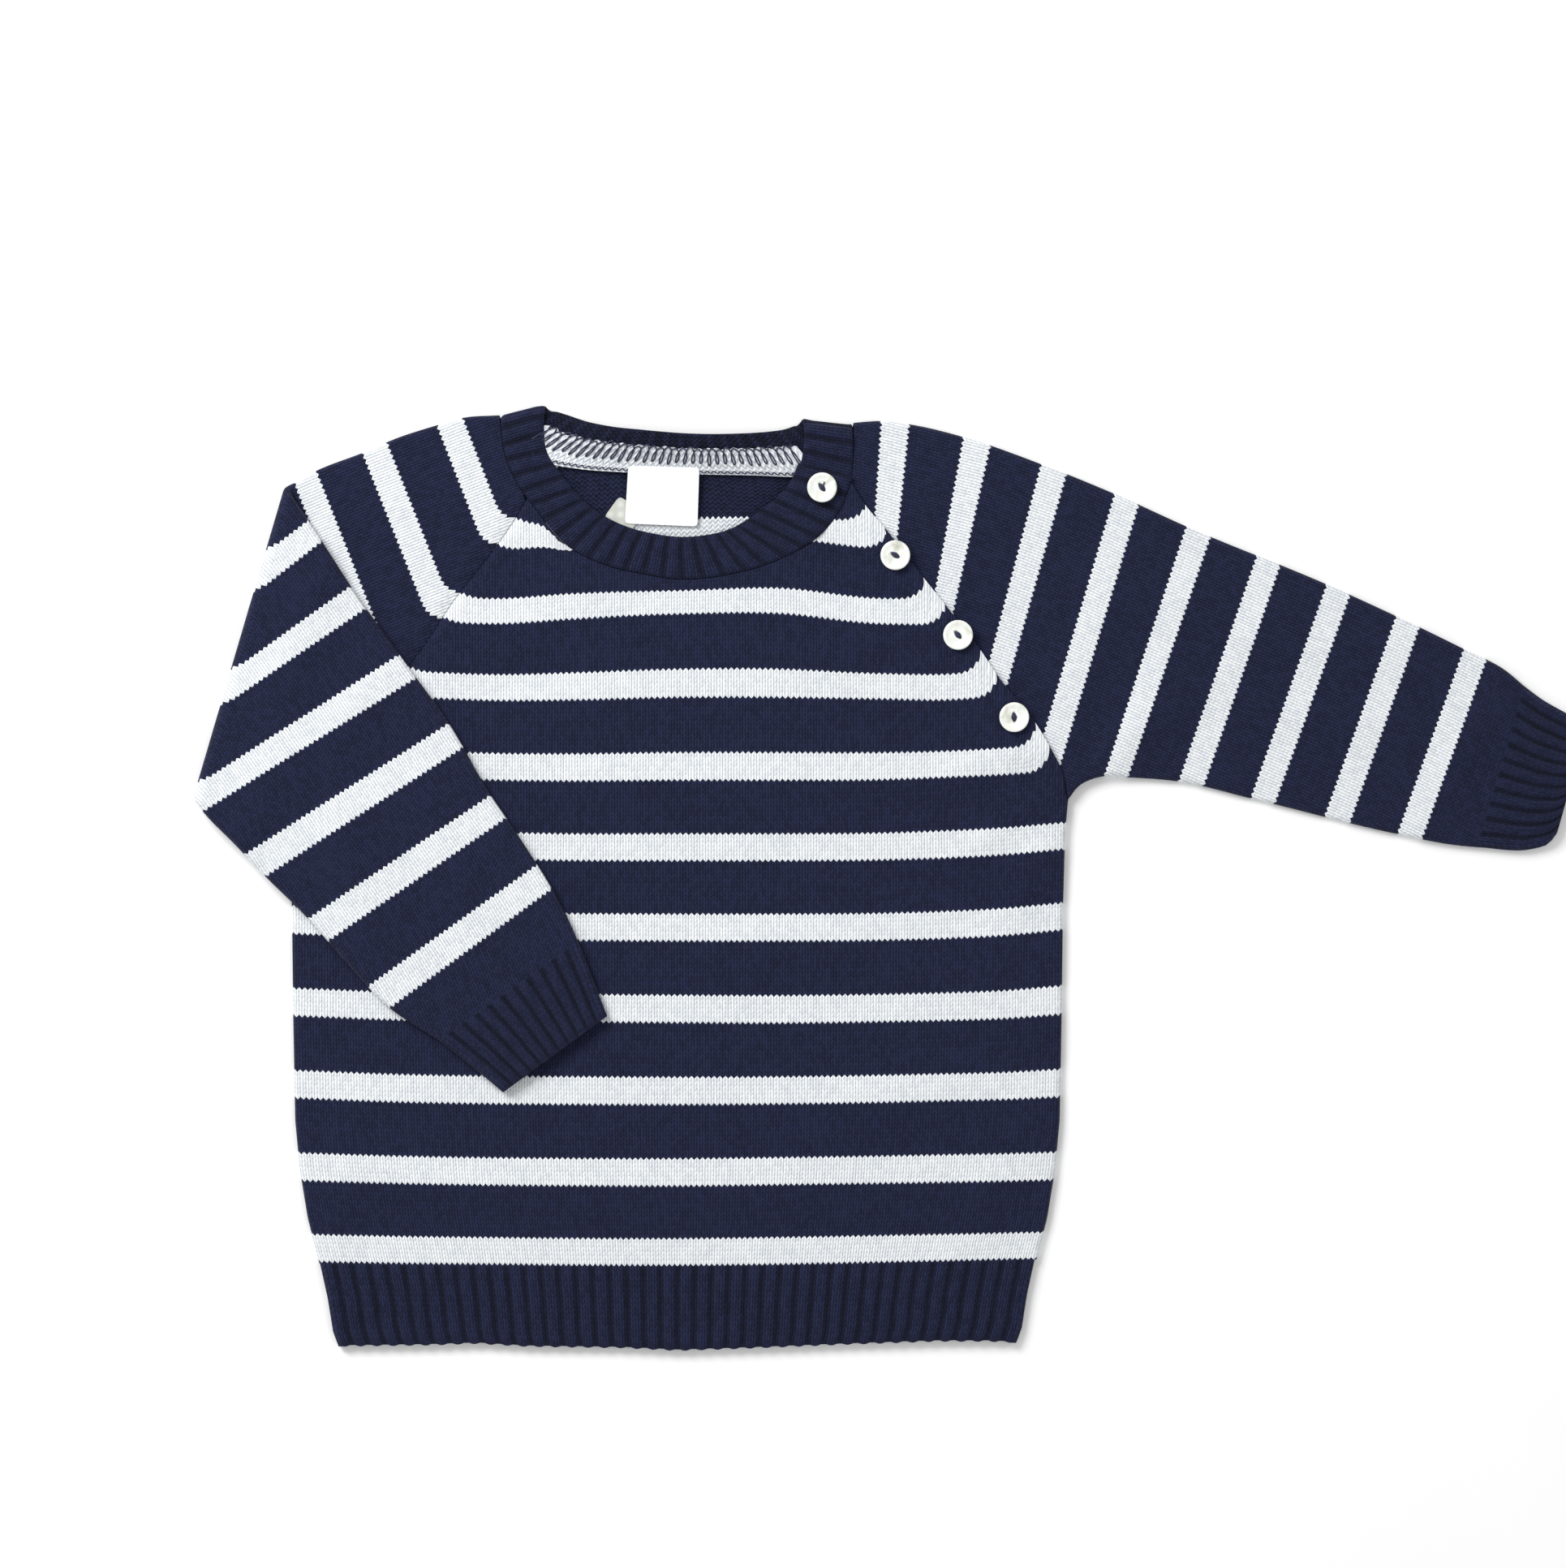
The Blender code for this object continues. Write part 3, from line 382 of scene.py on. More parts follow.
ARM_SWELLS = np.array((
    (166, 226, 30, 7.0, 62, 1.5), (184, 236, 34, 7.0, 40, 1.1), (152, 262, 40, 9.0, 70, 0.9),
    (206, 268, 44, 9.0, -20, 1.0), (236, 232, 40, 8.0, -8, 1.0), (262, 254, 36, 7.0, -32, 0.9),
    (286, 214, 34, 7.0, 64, 1.0), (112, 300, 30, 9.0, 80, 0.7), (300, 232, 26, 6.0, 58, 0.7),
    (-104, 300, 30, 8.0, 112, 0.8), (-86, 312, 22, 8.0, 70, 0.6)))
LAID_SWELLS = np.array((
    (-140, 262, 40, 9.0, 64, 1.1), (-120, 236, 44, 9.0, 52, 1.0), (-150, 214, 34, 8.0, 70, 1.2),
    (-112, 196, 40, 9.0, -42, 1.0), (-132, 186, 34, 7.0, -46, 0.9), (-88, 184, 44, 9.0, -54, 0.9),
    (-98, 152, 30, 7.0, -40, 0.9), (-70, 160, 34, 8.0, -58, 0.8), (-128, 290, 20, 6.0, 60, 0.9)))


def mounds(points, table):
    """The sum of long soft mounds: height × exp(−(along / length)² − (across / width)²)."""
    gap = points[..., None, :2] - table[:, :2]
    turn = np.radians(table[:, 4])
    lengthways = (gap[..., 0] * np.cos(turn) + gap[..., 1] * np.sin(turn)) / table[:, 2]
    across = (gap[..., 1] * np.cos(turn) - gap[..., 0] * np.sin(turn)) / table[:, 3]
    return (table[:, 5] * np.exp(-lengthways**2 - across**2)).sum(axis=-1)


def lying(points):
    """The same points on the cloth as it lies, raised by the swells where they are above the back's wall."""
    high = points[..., 2]
    rise = mounds(points, SWELLS) + mounds(points, ARM_SWELLS)
    risen = high + rise * ramp(high, WALL, WALL + AIR)
    risen = risen + mounds(points, LAID_SWELLS) * ramp(high, LAYER + WALL, LAYER + WALL + 2 * AIR)
    return np.concatenate([points[..., :2], risen[..., None]], axis=-1)


print("swells:", len(SWELLS) + len(ARM_SWELLS) + len(LAID_SWELLS))

# %% [markdown]
# ## Finishes
#
# The cloth is combed cotton yarn in plain knitting. Its face shows columns of small Vs, two slanting
# legs to a stitch, with a shaded line between them; its reverse shows rows of little arcs. A stitch is too
# small to model, so the finish raises it as a bump and paints shade onto the yarn in its hollows. The stripe's
# edge is a zigzag, because each stitch of one colour hangs in the V of the one below it.

# %% Nodes and colours
def node(tree, kind, settings=None, inputs=None):
    """Adds a node, sets its own settings, and gives each input a value or a link from another node."""
    made = tree.nodes.new(kind)
    for name, value in (settings or {}).items():
        setattr(made, name, value)
    for name, value in (inputs or {}).items():
        if isinstance(value, bpy.types.Node):
            value = value.outputs[0]
        if isinstance(value, bpy.types.NodeSocket):
            tree.links.new(value, made.inputs[name])
        else:
            made.inputs[name].default_value = value
    return made


def linear(code):
    """An sRGB hex colour as linear red, green, blue and alpha."""
    parts = np.array([int(code[i:i + 2], 16) for i in (1, 3, 5)]) / 255
    parts = np.where(parts <= 0.04045, parts / 12.92, ((parts + 0.055) / 1.055) ** 2.4)
    return (*parts.tolist(), 1.0)


def new_material(name, roughness, **constants):
    """A Principled material; the constants go straight onto the shader's own sockets."""
    made = bpy.data.materials.new(name)
    made.use_nodes = True
    shader = made.node_tree.nodes["Principled BSDF"]
    shader.inputs["Roughness"].default_value = roughness
    shader.inputs["Metallic"].default_value = 0.0
    for key, value in constants.items():
        shader.inputs[key.replace("_", " ")].default_value = value
    return made, made.node_tree, shader


# %% Knitted cotton
# The first of each pair is the yarn's colour; the second is a darker painted shade for the hollows of the
# stitches
NAVY, NAVY_PAINTED_SHADE = "#222744", "#04060f"
WHITE, WHITE_PAINTED_SHADE = "#eef1f3", "#bac2cb"
STITCH_DEEP = 0.45 * MM  # the legs of a stitch stand this far out of the cloth
SLANT = 0.62  # a leg rises by this many courses from the middle of its stitch to the side


def knit_finish(name, striped, side):
    """Combed cotton, knitted: matt and faintly downy, so the eye sees soft edges and hardly any gloss.

    Side is face, reverse, rib or rib_inside. The height of a leg across the stitch is √(1 − (2a − 1)²), with a
    from 0 at the middle of the stitch to 1 at its side.
    """
    made, tree, shader = new_material(name, 0.88, Specular_IOR_Level=0.16, Sheen_Weight=0.06,
                                      Sheen_Roughness=0.45)
    math_node = "ShaderNodeMath"
    stitches = node(tree, "ShaderNodeUVMap", {"uv_map": "stitches"})
    split = node(tree, "ShaderNodeSeparateXYZ", None, {0: stitches})
    wale, course = split.outputs[0], split.outputs[1]
    part = node(tree, math_node, {"operation": "FRACT"}, {0: wale})
    signed = node(tree, math_node, {"operation": "MULTIPLY_ADD"}, {0: part, 1: 2.0, 2: -1.0})
    off = node(tree, math_node, {"operation": "ABSOLUTE"}, {0: signed})
    rise = node(tree, math_node, {"operation": "MULTIPLY_ADD"}, {0: off, 1: -SLANT, 2: course})
    if side in ("face", "rib"):
        centred = node(tree, math_node, {"operation": "MULTIPLY_ADD"}, {0: off, 1: 2.0, 2: -1.0})
        square = node(tree, math_node, {"operation": "POWER"}, {0: centred, 1: 2.0})
        rest = node(tree, math_node, {"operation": "SUBTRACT"}, {0: 1.0, 1: square})
        across = node(tree, math_node, {"operation": "SQRT"}, {0: rest})
        turn = node(tree, math_node, {"operation": "PINGPONG"}, {0: rise, 1: 0.5})
        tall = node(tree, math_node, {"operation": "MULTIPLY_ADD"}, {0: turn, 1: 0.9, 2: 0.55})
        height = node(tree, math_node, {"operation": "MULTIPLY"}, {0: across, 1: tall})
    else:
        # Arcs: the height follows the course, and every second half stitch is moved by half a course
        wave = node(tree, math_node, {"operation": "SINE"}, {0: node(
            tree, math_node, {"operation": "MULTIPLY"}, {0: wale, 1: math.tau})})
        bent = node(tree, math_node, {"operation": "MULTIPLY_ADD"}, {0: wave, 1: 0.28, 2: course})
        turn = node(tree, math_node, {"operation": "PINGPONG"}, {0: bent, 1: 0.5})
        height = node(tree, math_node, {"operation": "MULTIPLY"}, {0: turn, 1: 2.0})
    # Each leg takes the dye and the light a little differently
    legs = node(tree, math_node, {"operation": "FLOOR"}, {0: node(
        tree, math_node, {"operation": "MULTIPLY"}, {0: wale, 1: 2.0})})
    rows = node(tree, math_node, {"operation": "FLOOR"}, {0: rise})
    which = node(tree, "ShaderNodeCombineXYZ", None, {0: legs, 1: rows})
    chance = node(tree, "ShaderNodeTexWhiteNoise", {"noise_dimensions": "2D"}, {"Vector": which})
    place = node(tree, "ShaderNodeTexCoord").outputs["Object"]
    cloud = node(tree, "ShaderNodeTexNoise", None, {"Vector": place, "Scale": 1 / (14 * MM), "Detail": 3.0})
    uneven = node(tree, "ShaderNodeMapRange", None, {0: chance.outputs["Value"], 3: -0.2, 4: 0.2})
    uneven = node(tree, math_node, {"operation": "MULTIPLY_ADD"}, {0: cloud.outputs[0], 1: 0.16, 2: uneven})
    # Painted shade: where the stitch's height is low, in its hollows, the colour goes over to the darker painted
    # shade; the random tone of legs and clouds is added in
    lit = node(tree, math_node, {"operation": "ADD", "use_clamp": True}, {0: height, 1: uneven})
    color = node(tree, "ShaderNodeMix", {"data_type": "RGBA"}, {
        0: lit, 6: linear(NAVY_PAINTED_SHADE), 7: linear(NAVY)}).outputs[2]
    if striped:
        # The white yarn gets the same painted shade in its hollows
        pale = node(tree, "ShaderNodeMix", {"data_type": "RGBA"}, {
            0: lit, 6: linear(WHITE_PAINTED_SHADE), 7: linear(WHITE)}).outputs[2]
        edge = rise if side == "face" else bent
        repeat = node(tree, math_node, {"operation": "FLOORED_MODULO"}, {0: edge, 1: float(COURSES)})
        white = node(tree, math_node, {"operation": "LESS_THAN"}, {0: repeat, 1: float(WHITE_COURSES)})
        color = node(tree, "ShaderNodeMix", {"data_type": "RGBA"}, {0: white, 6: color, 7: pale}).outputs[2]
    if side in ("rib", "rib_inside"):
        # Painted shade: the purl wale between two ribs lies deep, so its colour is darkened; from inside it is
        # the one that stands out, so the wales beside it are darkened instead
        away = node(tree, math_node, {"operation": "PINGPONG"}, {0: node(
            tree, math_node, {"operation": "SUBTRACT"}, {0: wale, 1: 0.5}), 1: 1.5})
        ends = (0.52, 1.0) if side == "rib" else (1.0, 0.6)
        groove = node(tree, "ShaderNodeMapRange", {"interpolation_type": "SMOOTHSTEP"}, {
            0: away, 1: 0.3, 2: 0.75, 3: ends[0], 4: ends[1]})
        color = node(tree, "ShaderNodeMix", {"data_type": "RGBA", "blend_type": "MULTIPLY"}, {
            0: 1.0, 6: color, 7: node(tree, "ShaderNodeCombineColor", None, {0: groove, 1: groove, 2: groove})
        }).outputs[2]
    down = node(tree, "ShaderNodeTexNoise", None, {"Vector": place, "Scale": 1 / (0.8 * MM), "Detail": 2.0})
    relief = node(tree, math_node, {"operation": "MULTIPLY_ADD"}, {0: down.outputs[0], 1: 0.3, 2: height})
    bump = node(tree, "ShaderNodeBump", None, {"Strength": 0.8, "Distance": STITCH_DEEP, "Height": relief})
    tree.links.new(color, shader.inputs["Base Color"])
    tree.links.new(bump.outputs[0], shader.inputs["Normal"])
    return made


FACE = knit_finish("striped cotton, face", True, "face")
REVERSE = knit_finish("striped cotton, reverse", True, "reverse")
RIB = knit_finish("navy cotton rib", False, "rib")
RIB_INSIDE = knit_finish("navy cotton rib, inside", False, "rib_inside")
print("knitted finishes:", len([FACE, REVERSE, RIB, RIB_INSIDE]))

# %% [markdown]
# ## From a grid to a piece of cloth
#
# A wall of cloth has an outer and an inner face, and thin rims that close it. Where front and back meet
# at a fold, the outer face goes round in a half circle. A sleeve is a tube: out along its front and home
# along its back. Solidify could give a sheet its thickness, but here the two faces differ: ribs stand
# out of one only, and the reverse of the knitting is on the other.

# %% Walls and shells
OUT_TURN = np.radians([88, 72, 56, 40, 25, 12, 0])  # places round a side edge, from its middle height
IN_TURN = np.radians([85, 66, 50, 36, 22, 10, 0])


def wall(plan, turned=1.0, ribs=0.0):
    """Outer and inner points of a front wall from its plan, with the points of the round edges added.

    At an angle t round the edge a point lies r(1 − sin t) in from the side and r(1 − cos t) below the top.
    """
    turned = np.broadcast_to(turned, len(plan))[:, None]
    out_inset = EDGE_R * (1 - np.sin(OUT_TURN))
    in_inset = out_inset + turned * (EDGE_R - EDGE_IN * np.sin(IN_TURN) - out_inset)

    def rounded(edge, inner):
        way = inner - edge
        way = (way / np.linalg.norm(way, axis=1, keepdims=True))[:, None]
        return edge[:, None] + way * out_inset[None, :, None], edge[:, None] + way * in_inset[..., None]

    first = rounded(plan[:, 0], plan[:, 3])
    last = rounded(plan[:, -1], plan[:, -4])
    keep = slice(2, -2)  # the columns nearest the side make room for the round edge
    flat = np.zeros(plan[:, keep].shape[1])
    drops = EDGE_R * (1 - np.cos(OUT_TURN)), EDGE_IN * (1 - np.cos(IN_TURN))
    faces = []
    for k, drop in enumerate(drops):
        points = np.concatenate([first[k], plan[:, keep], last[k][:, ::-1]], axis=1)
        level = (LAYER, LAYER - WALL)[k]
        high = level - turned * np.concatenate([drop, flat, drop[::-1]]) + (ribs, 0)[k]
        faces.append(np.dstack([points, high]))
    return faces


def as_back(faces):
    """The same wall as a back: its height is counted down from the top of both layers."""
    return [points * (1, 1, -1) + (0, 0, LAYER) for points in faces]


def world(points):
    """From the garment's millimetres to metres in the frame."""
    return (points - SHIFT) * MM


def new_piece(name, points, quads, materials, which=None, stitches=None, sharp=50):
    """A mesh piece from whole arrays: points in the garment's mm, faces, and a UV map of stitches."""
    a, b, c, d = (points[quads[:, k]] for k in range(4))
    if np.einsum("ij,ij->", a, np.cross(b, c) + np.cross(c, d)) < 0:
        quads = quads[:, ::-1]
    mesh = bpy.data.meshes.new(name)
    mesh.vertices.add(len(points))
    mesh.vertices.foreach_set("co", world(points).astype(np.float32).ravel())
    mesh.loops.add(quads.size)
    mesh.loops.foreach_set("vertex_index", quads.astype(np.int32).ravel())
    mesh.polygons.add(len(quads))
    mesh.polygons.foreach_set("loop_start", np.arange(0, quads.size, 4, dtype=np.int32))
    for material in materials:
        mesh.materials.append(material)
    if which is not None:
        mesh.polygons.foreach_set("material_index", which.astype(np.int32))
    if stitches is not None:
        layer = mesh.uv_layers.new(name="stitches")
        layer.data.foreach_set("uv", stitches[quads.ravel()].astype(np.float32).ravel())
    mesh.update(calc_edges=True)
    mesh.validate()
    mesh.shade_smooth()
    mesh.set_sharp_from_angle(angle=math.radians(sharp))
    piece = bpy.data.objects.new(name, mesh)
    bpy.context.scene.collection.objects.link(piece)
    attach(piece, "root")
    return piece


def shell(name, faces, stitches, materials, tube=False):
    """The closed piece between an outer and an inner grid, with rims round its open edges."""
    rows, columns = faces[0].shape[:2]
    at = np.arange(rows * columns).reshape(rows, columns)
    if tube:
        at = np.concatenate([at, at[:, :1]], axis=1)
    quads = np.stack([at[:-1, :-1], at[:-1, 1:], at[1:, 1:], at[1:, :-1]], axis=-1).reshape(-1, 4)
    far = rows * columns
    borders = [at[0], at[-1, ::-1]] + ([] if tube else [at[::-1, 0], at[:, -1]])
    rims = [np.stack([edge[1:], edge[:-1], edge[:-1] + far, edge[1:] + far], axis=-1) for edge in borders]
    which = np.concatenate([np.zeros(len(quads)), np.ones(len(quads)), *(np.zeros(len(rim)) for rim in rims)])
    points = np.concatenate([face.reshape(-1, 3) for face in faces])
    marks = np.concatenate([mark.reshape(-1, 2) for mark in stitches])
    all_quads = np.concatenate([quads, quads[:, ::-1] + far, *rims])
    piece = new_piece(name, points, all_quads, materials, which, marks)
    areas = np.empty(len(piece.data.polygons), np.float32)
    piece.data.polygons.foreach_get("area", areas)
    area = areas.sum() / 2
    print(f"{name}: {len(piece.data.polygons)} faces, {area * 1e4:.0f} cm² of cloth")
    return piece


# %% [markdown]
# ## Front and back
#
# Both are knitted from the hem up: straight to the underarms, then narrowed along the raglans to the
# neck. The front's buttoned edge lies over the sleeve, so it is raised there and comes down again a
# little way in. At the sewn raglan both edges turn down into the seam.

# %% The two panels
def band_lines(at=None, rows=None):
    """The seam and the free edge of the neckband, at places along it or at rows of its table."""
    seam, edge = BAND[:, :3], BAND[:, 3:]
    knots = (distances(seam) + distances(edge)) / 2
    if at is None:
        at = np.interp(rows, np.arange(len(BAND)), knots)
    return smooth(seam, knots, at), smooth(edge, knots, at)


def neck_seam(first, last, count=90):
    return band_lines(rows=np.linspace(first, last, count))[0][:, :2]


def hem_seam(x):
    """The line where the rib ends: 1.8 (x / 132)² + 0.9 x / 132 above its height in the middle."""
    return HEM_SEAM_Y + 1.8 * (x / 132) ** 2 + 0.9 * x / 132


BODY_ACROSS = np.linspace(-1, 1, 119)
BODY_LOWER = np.linspace(HEM_SEAM_Y, ARMPIT_Y, 72)
RAGLAN_SHARES = np.linspace(0, 1, 56)


def body_panel(left, right, neck):
    """A panel in plan: one patch from the rib to the underarms, and one from there to the neck."""
    width = half_width(HEM_SEAM_Y + 1)
    start = np.stack([BODY_ACROSS * width, hem_seam(BODY_ACROSS * width)], axis=1)
    sides = np.array([(half_width(y), y) for y in BODY_LOWER])
    sides[0] = start[-1]
    left_side = sides * (-1, 1)
    left_side[0] = start[0]
    armpit = np.stack([BODY_ACROSS * half_width(ARMPIT_Y), np.full(len(BODY_ACROSS), ARMPIT_Y)], axis=1)
    lower = patch(start, armpit, left_side, sides)
    upper = patch(armpit, along(neck, (BODY_ACROSS + 1) / 2), along(left, RAGLAN_SHARES),
                  along(right, RAGLAN_SHARES))
    turned = np.concatenate([np.ones(len(lower)), 1 - ramp(RAGLAN_SHARES[1:], 0, 0.09)])
    return np.concatenate([lower, upper[1:]]), turned


def lift_at(points):
    """How far the front is raised over the lap."""
    gap = nearest(points, open_edge)
    return LIFT * (1 - ramp(gap, *LIFT_RAMP)) * ramp(points[..., 1], *LIFT_FROM_Y)


def seam_dip(points, line, deep=0.9, wide=1.7):
    """How far cloth turns down beside a seam: deep × exp(−(distance / wide)²)."""
    return deep * np.exp(-(nearest(points, line) / wide) ** 2)


GAP = 0.12  # half the gap that shows at a seam
left = beside(sewn_edge, GAP)
right = beside(open_edge, -GAP)
neck = beside(neck_seam(SEWN_ROW, OPEN_ROW), 2 * GAP)
left[-1], right[-1] = neck[0], neck[-1]
front = wall(*body_panel(left, right, neck))
front_stitches = [body_stitches(points) for points in front]
for points in front:
    points[..., 2] += lift_at(points) - seam_dip(points, sewn_edge[20:])
front_cloth = shell("front_cloth", [lying(points) for points in front], front_stitches, [FACE, REVERSE])
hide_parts("front_panel")

left = beside(curve(BACK_SEWN_RAGLAN), GAP)
right = beside(curve(BACK_OPEN_RAGLAN), -GAP)
neck = beside(neck_seam(*BACK_ROWS), 2 * GAP)
left[-1], right[-1] = neck[0], neck[-1]
back = as_back(wall(*body_panel(left, right, neck)))
back_stitches = [body_stitches(points, pulled=False) for points in back]
back_cloth = shell("back_cloth", back, back_stitches, [FACE, REVERSE])
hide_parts("back_panel")

# %% [markdown]
# ## The hem
#
# A rib of two plain wales and one purl: the plain ones stand out and the purl one sinks between them,
# which lets the hem stretch and draw in. It is knitted in one with the panel. The last two rows at the
# edge are the cast-on, where the grooves end.

# %% Ribs
HEM_RIBS = 41
CUFF_RIBS = 10
NECK_RIBS = 50
RIB_HIGH = 0.5
RIB_DEEP = 0.25  # the purl wale sinks this far into the wall
RIB_CLEAR = 2.4
RIB_POINTS = 9
CAST_ON = 2.2


def rib_height(place):
    """Height across the ribs, with place counted in ribs: −deep in the purl wale, and flat-topped between.

    It goes from −deep to high as the distance from the purl wale's middle goes from 0.07 to 0.24 of a rib.
    """
    off = np.abs((place + 0.5) % 1 - 0.5)
    crown = 0.15 * ramp(np.abs(off - 0.5), 0.0, 0.3)
    return -RIB_DEEP + (RIB_HIGH + RIB_DEEP) * ramp(off, 0.07, 0.24) - crown


def rib_shares(count):
    return np.linspace(0, 1, count * (RIB_POINTS - 1) + 1)


def ribbed_plan(ends, count):
    """Rows of points between pairs of ends, with the ribs kept clear of the round edges, and their places."""
    ends = np.array(ends)
    first, last = ends[:, None, 0], ends[:, None, 1]
    inset = RIB_CLEAR / np.linalg.norm(last - first, axis=-1, keepdims=True)
    inner = inset + rib_shares(count)[None, :, None] * (1 - 2 * inset)
    shares = np.concatenate([inset * 0, inset / 2, inner, 1 - inset / 2, 1 - inset * 0], axis=1)
    place = np.concatenate([[0, 0], rib_shares(count), [1, 1]]) * count + 0.5
    return first + shares * (last - first), place


def with_edges(values):
    """The values of a plan's row, with those that wall adds for its round edges."""
    round_edge = np.ones(len(OUT_TURN))
    return np.concatenate([values[0] * round_edge, values[2:-2], values[-1] * round_edge])


def rib_rise(place):
    """The ribs' height with the round edges, where it comes down to nothing at the side."""
    rise = with_edges(rib_height(place))
    down = np.linspace(0, 0.8, len(OUT_TURN))
    rise[:len(down)] *= down
    rise[-len(down):] *= down[::-1]
    return rise[None]


def rib_marks(faces, place, length):
    """Wale and course on a rib: three wales to each rib, and the distance down the rows.

    The wales run on over the round edges, so a rib's last one turns over the side there.
    """
    down = np.linspace(0, length, len(faces[0]))[:, None]
    wales = with_edges(place) * 3 + 0.5
    over = np.linspace(0.9, 0.15, len(OUT_TURN))
    wales[:len(over)] -= over
    wales[-len(over):] += over[::-1]
    marks = np.stack(np.broadcast_arrays(wales[None], -down / COURSE), axis=-1)
    return [marks, marks]


HEM_SHARES = np.concatenate([np.linspace(0, 0.9, 12), [0.93, 0.955, 0.98, 1.0]])


def hem_cloth(name, front_side):
    count = HEM_RIBS if front_side else 12
    ends = []
    for share in HEM_SHARES:
        x = half_width(HEM_SEAM_Y * (1 - share) + share)
        ends.append(((-x, 0.0), (x, 0.0)))
    plan, place = ribbed_plan(ends, count)
    wide = plan[:, -1:, 0]
    low = np.interp(plan[..., 0] / wide * half_width(0), *np.array(HEM_EDGE).T)
    low = low + 0.35 * np.cos(2 * np.pi * place)[None] * front_side  # the edge scallops under each groove
    shares = HEM_SHARES[:, None]
    plan[..., 1] = hem_seam(plan[..., 0] / wide * half_width(HEM_SEAM_Y + 1)) * (1 - shares) + low * shares
    down = shares * HEM_SEAM_Y
    fade = ramp(down, 0, 1.6) * (1 - ramp(down, HEM_SEAM_Y - CAST_ON, HEM_SEAM_Y))
    ribs = rib_rise(place) * fade if front_side else 0
    faces = wall(plan, ribs=ribs)
    marks = rib_marks(faces, place, HEM_SEAM_Y)
    if not front_side:
        marks = [mark * (HEM_RIBS / count, 1) for mark in marks]
        faces = as_back(faces)
    made = shell(name, [lying(points) for points in faces], marks, [RIB, RIB_INSIDE])
    return made


front_hem = hem_cloth("front_hem", True)
back_hem = hem_cloth("back_hem", False)
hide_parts("front_hem_rib")
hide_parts("back_hem_rib")

# %% [markdown]
# ## The sleeves
#
# A raglan sleeve is knitted flat from the cuff up, closed along the underarm and set in along the
# raglans. Laid flat it is two walls between the fold over the arm and the seam under it. The stretched
# one reaches under the buttoned edge. The other is worked out flat in the same way, and every point past
# the fold is then turned over it, so the two layers keep their lengths.

# %% A sleeve's two sides
SLEEVE_ACROSS = 58
CAP_ROWS = np.linspace(0, 1, 30)
ARM_ROWS = np.linspace(0, 1, 52)


def cap_line(raglan, neck):
    """Round the cap on one side: up the raglan from the underarm, then along the neck, evenly spaced."""
    return along(np.concatenate([raglan, neck[1:]]), np.linspace(0, 1, SLEEVE_ACROSS))


def sleeve_side(cap, under, top, rows):
    """One side in plan: a patch from the cap to the first row, then the rows, each a straight line."""
    shares = np.linspace(0, 1, SLEEVE_ACROSS)[:, None]
    lines = [first + shares * (last - first) for first, last in rows]
    grid = patch(cap, lines[0], along(np.array(under), CAP_ROWS), along(np.array(top), CAP_ROWS))
    return np.concatenate([grid, np.array(lines[1:])])


def upto(points, wanted, values):
    """The part of a chain up to where a value that grows along it reaches the one wanted."""
    last = [np.interp(wanted, values, column) for column in points.T]
    return np.concatenate([points[values < wanted - 0.5], [last]])


def beyond(points, wanted, values):
    first = [np.interp(wanted, values, column) for column in points.T]
    return np.concatenate([[first], points[values > wanted + 0.5]])


def tube(front, back):
    """Outer and inner grids of a tube: out along its front and home along its back."""
    return [np.concatenate([f, b[:, ::-1]], axis=1) for f, b in zip(front, back)]


def sleeve(front_cap, back_cap, under, top, rows, lines, side):
    """The tube, and its stitches: on the far side of the arm the wales count the other way."""
    walls = [wall(sleeve_side(cap, under, top, rows)) for cap in (front_cap, back_cap)]
    marks = [[sleeve_stitches(points, lines, side) for points in pair] for pair in walls]
    marks[1] = [mark * (-1, 1) for mark in marks[1]]
    return tube(walls[0], as_back(walls[1])), tube(*marks)


# %% The stretched sleeve
reach = GAP - (LAP + GAP) * ramp(open_edge[:, 1], *LAP_FROM_Y)
lap = beside(open_edge, reach)
lap = np.concatenate([lap[lap[:, 1] < LAP_CORNER[1] - 12], [LAP_CORNER]])
neck = beside(neck_seam(len(BAND) - 1, RIGHT_FOLD_ROW + 1), 2 * GAP)
neck = np.concatenate([[LAP_CORNER], neck, [LEFT_TOP[0]]])
back_neck = beside(neck_seam(BACK_ROWS[1] + 0.03, RIGHT_FOLD_ROW - 1), 2 * GAP)
back_neck = np.concatenate([back_neck, [LEFT_TOP[0]]])
back_line = beside(curve(BACK_OPEN_RAGLAN), GAP)
back_line[-1] = back_neck[0]
under, top = curve(LEFT_UNDER), curve(LEFT_TOP)
rows = list(zip(along(beyond(under, BICEP_UNDER_X, under[:, 0]), ARM_ROWS),
                along(beyond(top, BICEP_TOP_X, top[:, 0]), ARM_ROWS)))
faces, marks = sleeve(cap_line(lap, neck), cap_line(back_line, back_neck),
                      upto(under, BICEP_UNDER_X, under[:, 0]), upto(top, BICEP_TOP_X, top[:, 0]),
                      rows, LEFT_ROWS, 1)
left_sleeve = shell("left_sleeve_cloth", [lying(points) for points in faces], marks,
                    [FACE, REVERSE], tube=True)
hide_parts("left_sleeve")

# %% The fold of the other sleeve
FOLD_HIGH = LAYER + 0.15  # height of the line that the sleeve turns about
FOLD_R = 2.0
FOLD_IN = np.array([1, -FOLD_LEAN]) / math.hypot(1, FOLD_LEAN)
FOLD_LINE = np.array(FOLD_EDGE) + FOLD_IN * FOLD_HIGH


def past_fold(points):
    return (FOLD_LINE - points[..., :2]) @ FOLD_IN


def unfolded(table):
    """Where points that lie on the front were before the sleeve was turned over."""
    points = np.array(table, float)
    return points + FOLD_IN * (2 * past_fold(points) - math.pi * FOLD_R)[:, None]


